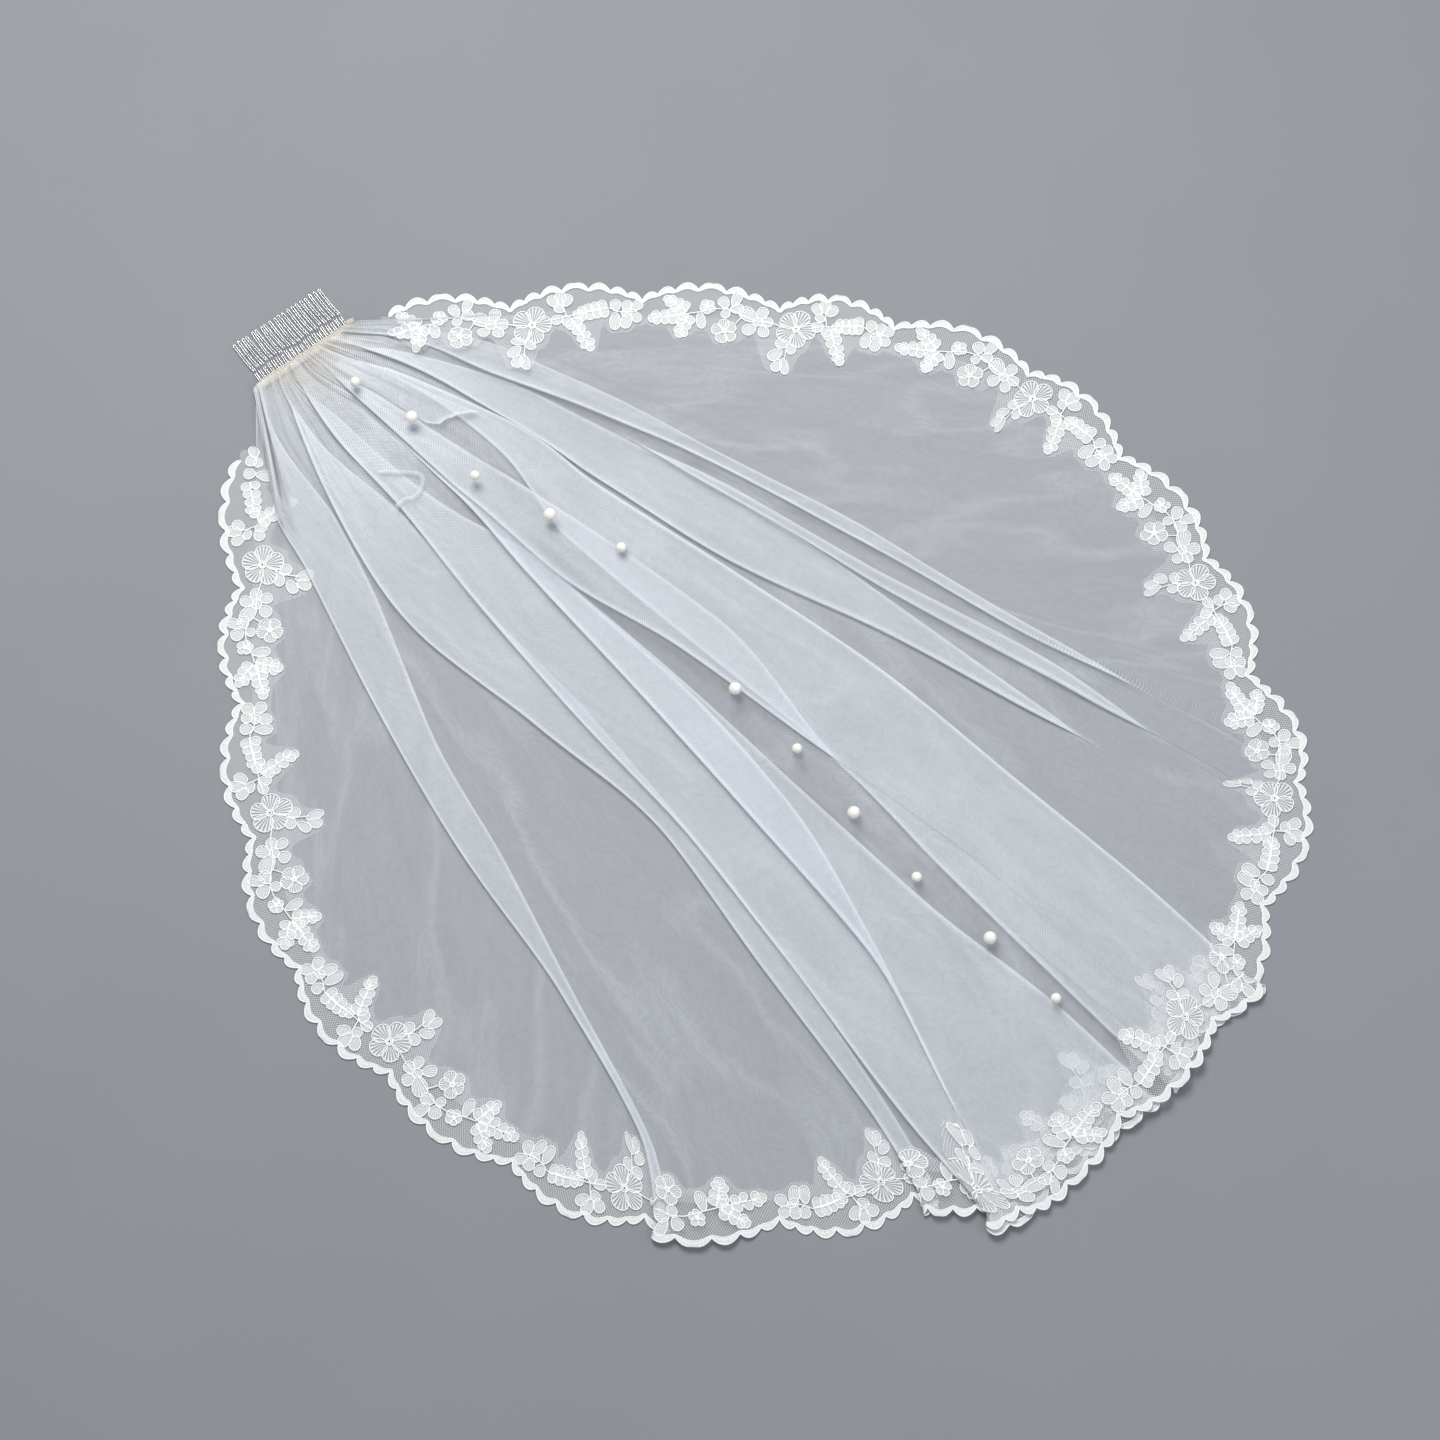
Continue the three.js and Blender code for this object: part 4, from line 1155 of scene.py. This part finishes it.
def round_to_petal(maker, shape):
    """Moves a unit circle so that its root is the origin and its tip end is the wider one."""
    x, y, z = maker.parts(maker.place())
    moved = maker.vector_of(x + 0.5, y * (1.0 + 0.42 * x), z)
    return maker.add("GeometryNodeSetPosition", sockets={0: shape, "Position": moved})


def sewn_petals(maker, shape):
    """A shape at each petal's root, turned and stretched as the petal's values say."""
    size = maker.vector_of(maker.named("long"), maker.named("wide"), 1.0)
    return maker.on_points(shape, maker.vector_of(z=maker.named("turn")), size)


def petal_cords(rows, finish):
    maker = Maker("petal cords", radius=LACE["cord"], sides=5, points=15)
    ring = maker.add("GeometryNodeCurvePrimitiveCircle",
                     sockets={"Resolution": maker.given("points"), "Radius": 0.5})
    placed = sewn_petals(maker, round_to_petal(maker, ring))
    lines = maker.add("GeometryNodeRealizeInstances", sockets={0: placed})
    points = petal_points("lace_petal_cords", rows, LACE_HEIGHTS["cord"])
    return maker.run(maker.tube(lines), points, finish)


def petal_fills(rows, finish):
    """Low stitched domes, each with its own root-to-rim coordinates for the stitches."""
    maker = Maker("petal fills", points=15, crown=0.55, fill=0.46)
    disc = maker.add("GeometryNodeMeshCircle", {"fill_type": "TRIANGLE_FAN"},
                     {"Vertices": maker.given("points"), "Radius": maker.given("fill")})
    length = maker.add("ShaderNodeVectorMath", {"operation": "LENGTH"}, {0: maker.place()}, out=1)
    dome = maker.vector_of(z=(0.5 - length) * 2 * maker.given("crown"))
    disc = maker.add("GeometryNodeSetPosition", sockets={0: disc, "Offset": dome})
    shape = maker.add("GeometryNodeStoreNamedAttribute", {"data_type": "FLOAT_VECTOR", "domain": "POINT"},
                      {"Geometry": round_to_petal(maker, disc), "Name": "petal", "Value": maker.place()})
    points = petal_points("lace_petals", rows, LACE_HEIGHTS["fill"])
    piece = maker.run(sewn_petals(maker, shape), points, finish)
    mesh = piece.data
    place = values_of(mesh, "petal", "vector", 3)
    place[:, 2] = values_of(mesh, "sheer", "value", 1)[:, 0]
    drop_values(mesh, "turn", "long", "wide", "sheer", "petal")
    set_values(mesh, "petal", place)
    return piece


def lay_piece(piece):
    move_vertices(piece, HEM_MAP.lay(vertices_of(piece)))
    return piece


def scallop_lines():
    """Outer and inner line of each small scallop's satin band."""
    joints = scallop_joints()
    outer, inner = [], []
    for start, end in zip(joints[:-1], joints[1:]):
        share = np.linspace(0, 1, 10)
        count = start + (end - start) * np.clip(share, 0.001, 0.999)
        u = HEM_MAP.place_of(count)
        if u[0] < GROUND_END or u[-1] > HEM_MAP.length - GROUND_END:
            continue
        out = -scallop_edge(count)
        widest = LACE["band"] - LACE["band_end"]
        band = LACE["band_end"] + widest * np.sin(np.pi * share) ** 0.5
        outer.append(np.stack([u, out, np.zeros_like(u)], axis=1))
        inner.append(np.stack([u, out + band, np.zeros_like(u)], axis=1))
    return outer, inner


def scallop_bands(outer, inner, finish):
    """Slightly raised bands of satin stitch between the two lines of each scallop."""
    points, faces = [], []
    across_band = np.linspace(0, 1, 4)
    for a, b in zip(outer, inner):
        faces.extend(grid_faces(len(across_band), len(a)) + len(points))
        for share in across_band:
            line = a * (1 - share) + b * share
            line[:, 2] = LACE_HEIGHTS["band"] + 0.45 * math.sin(math.pi * share)
            points.extend(line)
    flat = np.array(points)
    return mesh_piece("lace_scallops", HEM_MAP.lay(flat), np.array(faces)[:, ::-1], finish, flat[:, :2])


def ground_net(rows, finish):
    """Net behind the ornaments, cut close round them on its inner side."""
    u = np.arange(GROUND_END, HEM_MAP.length - GROUND_END, GROUND["step"])
    reach = np.full(len(u), GROUND["least"])
    for root_u, root_v, turn, long, wide, _ in rows:
        for share in (0.3, 0.7, 1.0):
            middle = root_u + math.cos(turn) * long * share
            top = root_v + math.sin(turn) * long * share + 0.35 * wide
            near = np.abs(u - middle) < 0.55 * wide + GROUND["beside"]
            reach[near] = np.maximum(reach[near], top + GROUND["margin"])
    reach = np.minimum(reach, lace_limit(u) + GROUND["beside"])
    inner = np.convolve(np.pad(reach, 1, mode="edge"), [0.25, 0.5, 0.25], mode="valid")
    outer = -scallop_edge(HEM_MAP.count_of(u)) + GROUND["beside"]
    share = np.linspace(0, 1, GROUND["columns"])[:, None]
    v = outer + (inner - outer) * share
    flat = np.stack([np.broadcast_to(u, v.shape), v, np.full(v.shape, LACE_HEIGHTS["ground"])], axis=-1)
    flat = flat.reshape(-1, 3)
    fray = np.repeat(ease((share - 0.75) / 0.25), len(u))
    faces = grid_faces(*v.shape)[:, ::-1]
    return mesh_piece("lace_ground", HEM_MAP.lay(flat), faces, finish, flat[:, :2], {"fray": fray})


PATH_STEPS = 5      # steps from one point of a smooth path to the next


def smooth_path(points):
    """A round path through a few points."""
    points = np.asarray(points, float)
    padded = np.vstack([2 * points[0] - points[1], points, 2 * points[-1] - points[-2]])
    path = []
    for i in range(1, len(padded) - 2):
        p0, p1, p2, p3 = padded[i - 1:i + 3]
        for t in np.linspace(0, 1, PATH_STEPS, endpoint=False):
            path.append(0.5 * (2 * p1 + (p2 - p0) * t + (2 * p0 - 5 * p1 + 4 * p2 - p3) * t * t
                               + (3 * p1 - p0 - 3 * p2 + p3) * t ** 3))
    return np.array(path + [points[-1]])


def lace_stems(finish):
    paths, lines = [], list(STEMS)
    sprays = table(SPRAYS)
    for u, v, tip_u, tip_v in zip(*(sprays[key] for key in ("u", "v", "tip_u", "tip_v"))):
        lines.append([(u + share * (tip_u - u), v + share * (tip_v - v)) for share in (0, 0.5, 0.82)])
    for n in range(0, LARGE, 2):
        for line in lines:
            path = smooth_path(line)
            path[:, 0] = HEM_MAP.place_of(n + path[:, 0] / HALF)
            if (clear_of_ends(path[:, 0]) & (path[:, 1] < lace_limit(path[:, 0]))).all():
                paths.append(np.column_stack([path, np.full(len(path), LACE_HEIGHTS["stem"])]))
    return tubes("lace_stems", paths, LACE["cord"] * THICKER["stem"], 5, finish)


def lace_rings(circles, finish):
    """Two raised rings of cord in the middle of each flower."""
    paths = []
    angle = np.linspace(0, 2 * np.pi, 12, endpoint=False)
    for u, v, ring in circles:
        for share, lift in FLOWER_RINGS:
            radius = ring * share
            paths.append(np.column_stack([u + radius * np.cos(angle), v + radius * np.sin(angle),
                                          np.full(len(angle), lift)]))
    return tubes("lace_flower_rings", paths, LACE["cord"] * THICKER["ring"], 5, finish, closed=True)


def lace_pieces():
    cord = cord_finish("lace cord", colour(0.93, 0.93, 0.92), colour(0.80, 0.80, 0.79), 1500.0)
    rows, circles = all_petals()
    outer, inner = scallop_lines()
    ground = ground_net(rows, lace_net_finish())
    fills = lay_piece(petal_fills(rows, petal_finish()))
    cords = lay_piece(petal_cords(rows, cord))
    stems = lay_piece(lace_stems(cord))
    rings = lay_piece(lace_rings(circles, cord))
    bands = scallop_bands(outer, inner, satin_finish())
    edges = [line + np.array([0, 0, LACE_HEIGHTS["trim"]]) for line in outer + inner]
    trims = lay_piece(tubes("lace_scallop_cords", edges, LACE["cord"] * THICKER["trim"], 5, cord))
    for piece in (cords, stems, rings, trims):
        tidy_normals(piece)
    return ground, [fills, cords, stems, rings, bands, trims]


# Comb
def tooth_path(rng):
    """One hairpin, up one leg with its kink, round the closed tip and back."""
    half = TOOTH["legs"] / 2
    length = TOOTH["length"] + rng.normal(0, TOOTH["uneven"])
    lean = rng.normal(0, TOOTH["uneven"])
    kink = TOOTH["kink_at"] * length + rng.normal(0, TOOTH["kink_uneven"])
    rise, aside = TOOTH["kink_rise"], TOOTH["kink_side"]

    def leg(side):
        x = side * half
        return [(x, 0, 0), (x + 0.1, kink * 0.55, 0), (x + 0.25, kink - 2.2, 0.05),
                (x + aside, kink + 0.6, rise), (x + aside * 0.55, kink + 3.4, rise),
                (x + 0.1, kink + 9, rise * 0.6), (x + lean * 0.6, length * 0.8, 0.1),
                (x + lean, length - half, 0)]

    tip = [(lean - half * 0.72, length - half * 0.3, 0), (lean, length, 0),
           (lean + half * 0.72, length - half * 0.3, 0)]
    return smooth_path(leg(-1) + tip + leg(1)[::-1])


def comb_cords(name, paths, radius, sides, finish):
    """Wire or thread along paths given along, out of and above the comb's middle."""
    piece = tubes(name, paths, radius, sides, finish)
    move_vertices(piece, comb_place(vertices_of(piece)))
    tidy_normals(piece)
    return piece


def comb_shell(name, grid, uv, finish):
    """A closed shell from rings of points, with both of its ends filled."""
    rings, ring = grid.shape[:2]
    faces = [(i * ring + k, i * ring + (k + 1) % ring, (i + 1) * ring + (k + 1) % ring, (i + 1) * ring + k)
             for i in range(rings - 1) for k in range(ring)]
    faces.append(tuple(range(ring))[::-1])
    faces.append(tuple(range((rings - 1) * ring, rings * ring)))
    piece = mesh_piece(name, comb_place(grid.reshape(-1, 3)), faces, finish, uv.reshape(-1, 2))
    tidy_normals(piece)
    return piece


def comb_teeth(finish):
    rng = np.random.default_rng(9)
    row = (COMB["width"] - TOOTH["legs"] - 2 * TOOTH["wire"]) / 2
    base = COMB["spine_y"] + COMB["spine_radius"] + TOOTH["gap"]
    paths = [tooth_path(rng) + np.array([x, base, COMB["z"]]) for x in np.linspace(-row, row, COMB["teeth"])]
    return comb_cords("comb_teeth", paths, TOOTH["wire"], 8, finish)


def spine_coil(finish):
    """Fine wire wound round the comb's back between the teeth."""
    share = np.linspace(0, 1, COMB["coil_turns"] * 8)
    angle = share * COMB["coil_turns"] * 2 * np.pi
    radius = COMB["spine_radius"] + COMB["coil"] * 1.1
    path = np.column_stack([(share - 0.5) * (COMB["width"] - 1), COMB["spine_y"] + radius * np.cos(angle),
                            COMB["z"] + radius * np.sin(angle)])
    return comb_cords("comb_coil", [path], COMB["coil"], 5, finish)


def binding_piece(finish):
    """Gathered roll of cloth round the comb's back, puckered by its stitches."""
    half = BINDING["half"]
    x, angle = np.meshgrid(np.linspace(-half, half, 260), np.linspace(0, 2 * np.pi, 26, endpoint=False),
                           indexing="ij")
    end = np.sqrt(np.clip(1 - (np.abs(x) / (half + 0.6)) ** 16, 0.02, 1))
    pucker = waves(x + 1.1 * np.sin(angle * 2), 31, [2.6, 4.4]) * BINDING["fine_pucker"]
    pucker += waves(x * 0.5 + 3 * angle, 33, [5.0, 9.0]) * BINDING["wide_pucker"]
    veilward = np.clip(-np.cos(angle), 0, 1)
    out = (BINDING["out"] + BINDING["veil_out"] * veilward + pucker) * end
    high = (BINDING["high"] + BINDING["veil_high"] * veilward + 0.8 * pucker) * end
    y = COMB["spine_y"] + 0.1 + out * np.cos(angle) + 0.25 * waves(x, 35, [23, 41])
    grid = np.stack([x, y, BINDING["z"] + high * np.sin(angle)], axis=-1)
    return comb_shell("comb_binding", grid, np.stack([x, angle * 3], axis=-1), finish)


def binding_stitches(finish):
    """Slanting loops of thread over the binding."""
    angle = np.linspace(-0.15 * np.pi, 1.12 * np.pi, 16)
    out = STITCH["out"] + STITCH["veil_out"] * (np.cos(angle) < 0)
    y = COMB["spine_y"] - 0.1 + out * np.cos(angle)
    z = BINDING["z"] + STITCH["high"] * np.sin(angle)
    paths = [np.column_stack([x + STITCH["slant"] * (angle / np.pi - 0.5), y, z])
             for x in np.linspace(-STITCH["half_row"], STITCH["half_row"], STITCH["count"])]
    return comb_cords("comb_stitches", paths, STITCH["thread"], 5, finish)


def binding_knot(finish):
    """Puckered end of the binding beside the last tooth."""
    t, p = np.meshgrid(np.linspace(0.02, np.pi - 0.02, 18), np.linspace(0, 2 * np.pi, 22, endpoint=False),
                       indexing="ij")
    r = 1 + 0.16 * np.sin(5 * p + 2 * t) + 0.10 * np.sin(9 * p - 3 * t) + 0.08 * np.sin(4 * t)
    ball = np.stack([np.cos(t), np.sin(t) * np.cos(p), np.sin(t) * np.sin(p)], axis=-1)
    grid = np.array(KNOT["middle"]) + np.array(KNOT["half"]) * r[..., None] * ball
    return comb_shell("comb_binding_end", grid, np.stack([p * 3, t * 4], axis=-1), finish)


# Pearls
def pearl_boxes():
    """Middle, size and turn of each pearl, the first two as the solids have them."""
    turns = np.random.default_rng(4).uniform(0, math.pi, PEARL_COUNT)
    for i, turn in enumerate(turns):
        low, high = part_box(f"pearl_{i + 1:02d}")
        yield np.array((low + high) / 2) * 1000 - SHIFT, (high.z - low.z) * 1000, turn


def pearl_piece(finish):
    """Round pearls with a drilled dimple at each side, where the thread goes in."""
    middles, sizes, turns = zip(*pearl_boxes())
    maker = Maker("pearls", segments=40, rings=26)
    ball = maker.add("GeometryNodeMeshUVSphere", sockets={"Segments": maker.given("segments"),
                                                          "Rings": maker.given("rings"), "Radius": 0.5})
    place = maker.place()
    dimple = 1 - 0.10 * abs(maker.parts(place)[2]).smooth(0.470, 0.498)
    shaped = maker.add("ShaderNodeVectorMath", {"operation": "SCALE"}, {0: place, "Scale": dimple})
    ball = maker.add("GeometryNodeSetPosition", sockets={0: ball, "Position": shaped})
    size = maker.named("size")
    placed = maker.on_points(ball, maker.vector_of(math.pi / 2, 0.0, maker.named("turn")),
                             maker.vector_of(size, size, size))
    source = points_object("pearls", middles, values={"turn": turns, "size": sizes})
    piece = maker.run(placed, source, finish)
    drop_values(piece.data, "turn", "size")
    move_vertices(piece, vertices_of(piece))
    return piece


def pearl_threads(finish):
    """A loop of thread through each pearl and down to the net."""
    paths = []
    for middle, size, turn in pearl_boxes():
        r = size / 2
        out = np.array([math.sin(turn), -math.cos(turn), 0])
        down = np.array([0, 0, 1.0])
        side = [(1.12 * r, r + 0.4), (1.16 * r, 0.5 * r), (0.96 * r, 0)]
        there = [middle - out * reach - down * drop for reach, drop in side]
        back = [middle + out * reach - down * drop for reach, drop in side]
        paths.append(smooth_path([*there, middle, *back[::-1]]))
    piece = tubes("pearl_threads", paths, PEARL_THREAD, 5, finish)
    move_vertices(piece, vertices_of(piece))
    tidy_normals(piece)
    return piece


# Floor, light and camera
ELEVATION, LENS, SENSOR = 72.0, 85.0, 36.0
FRAME, PIXEL = 1440, 0.73             # pixels of the frame's side, and millimetres to a pixel
LOOK_AT = (-32.709, 34.393, 0.0)      # plan place at the middle of the frame
FLOOR_HALF = 4.0                      # metres
ROOM_TINT, ROOM_LIGHT = (0.80, 0.86, 0.95), 0.42
NET_LAYERS = 26                       # transparent surfaces that a ray of light may pass

# Each soft lamp's place and side in metres, watts and tint. It faces the veil's middle.
LAMPS = {"key": ((-0.4, 1.0, 1.95), 1.1, 46, (1.0, 0.985, 0.96)),
         "fill": ((1.6, -0.9, 1.8), 1.8, 20, (0.93, 0.96, 1.0))}


def camera():
    distance = FRAME * PIXEL * LENS / SENSOR
    back = Vector((0, -math.cos(math.radians(ELEVATION)), math.sin(math.radians(ELEVATION))))
    data = bpy.data.cameras.new("camera")
    data.lens, data.sensor_width = LENS, SENSOR
    data.clip_start, data.clip_end = 0.05, 30
    thing = linked("camera", data)
    target = Vector(to_row(LOOK_AT))
    target.z = SHIFT[2] / 1000
    thing.location = target + back * (distance / 1000)
    thing.rotation_euler = back.to_track_quat("Z", "Y").to_euler()
    bpy.context.scene.camera = thing


def softbox(name, place, size, watts, tint):
    data = bpy.data.lights.new(name, "AREA")
    data.shape, data.size, data.energy, data.color = "SQUARE", size, watts, tint
    thing = linked(name, data)
    thing.location = place
    thing.rotation_euler = Vector(place).to_track_quat("Z", "Y").to_euler()


def studio():
    points = [(x * FLOOR_HALF, y * FLOOR_HALF, 0) for x, y in ((-1, -1), (1, -1), (1, 1), (-1, 1))]
    mesh = bpy.data.meshes.new("floor")
    mesh.from_pydata(points, [], [(0, 1, 2, 3)])
    mesh.materials.append(floor_finish())
    linked("floor", mesh)
    for name, lamp in LAMPS.items():
        softbox(name, *lamp)
    world = bpy.data.worlds.new("studio")
    world.use_nodes = True
    light = world.node_tree.nodes["Background"].inputs
    light["Color"].default_value = (*ROOM_TINT, 1)
    light["Strength"].default_value = ROOM_LIGHT
    bpy.context.scene.world = world
    bpy.context.scene.cycles.transparent_max_bounces = NET_LAYERS
    bpy.context.scene.view_settings.view_transform = "Standard"


def dress():
    sheet = tulle_piece()
    ground, ornaments = lace_pieces()
    wire, cream = wire_finish(), binding_finish()
    thread = cord_finish("cream sewing thread", colour(0.80, 0.77, 0.70), colour(0.58, 0.55, 0.49), 2200.0)
    teeth, coil = comb_teeth(wire), spine_coil(wire)
    binding, knot = binding_piece(cream), binding_knot(cream)
    stitches = binding_stitches(thread)
    pearls, threads = pearl_piece(pearl_finish()), pearl_threads(thread)
    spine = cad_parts["comb_spine"].data
    spine.materials.clear()
    spine.materials.append(wire)

    slots = [("tulle", [sheet]), ("lace", [ground, *ornaments]), ("wire", [teeth, coil]),
             ("binding", [binding, knot, stitches]), ("pearl", [pearls]), ("binding", [threads])]
    for slot, pieces in slots:
        for piece in pieces:
            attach(piece, "root")
    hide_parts("tulle")
    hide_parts("lace")
    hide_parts(*[f"tooth_{i + 1:02d}" for i in range(COMB["teeth"])])
    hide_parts("header")
    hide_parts(*[f"pearl_{i + 1:02d}" for i in range(PEARL_COUNT)])
    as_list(ornaments)


camera()
studio()
dress()
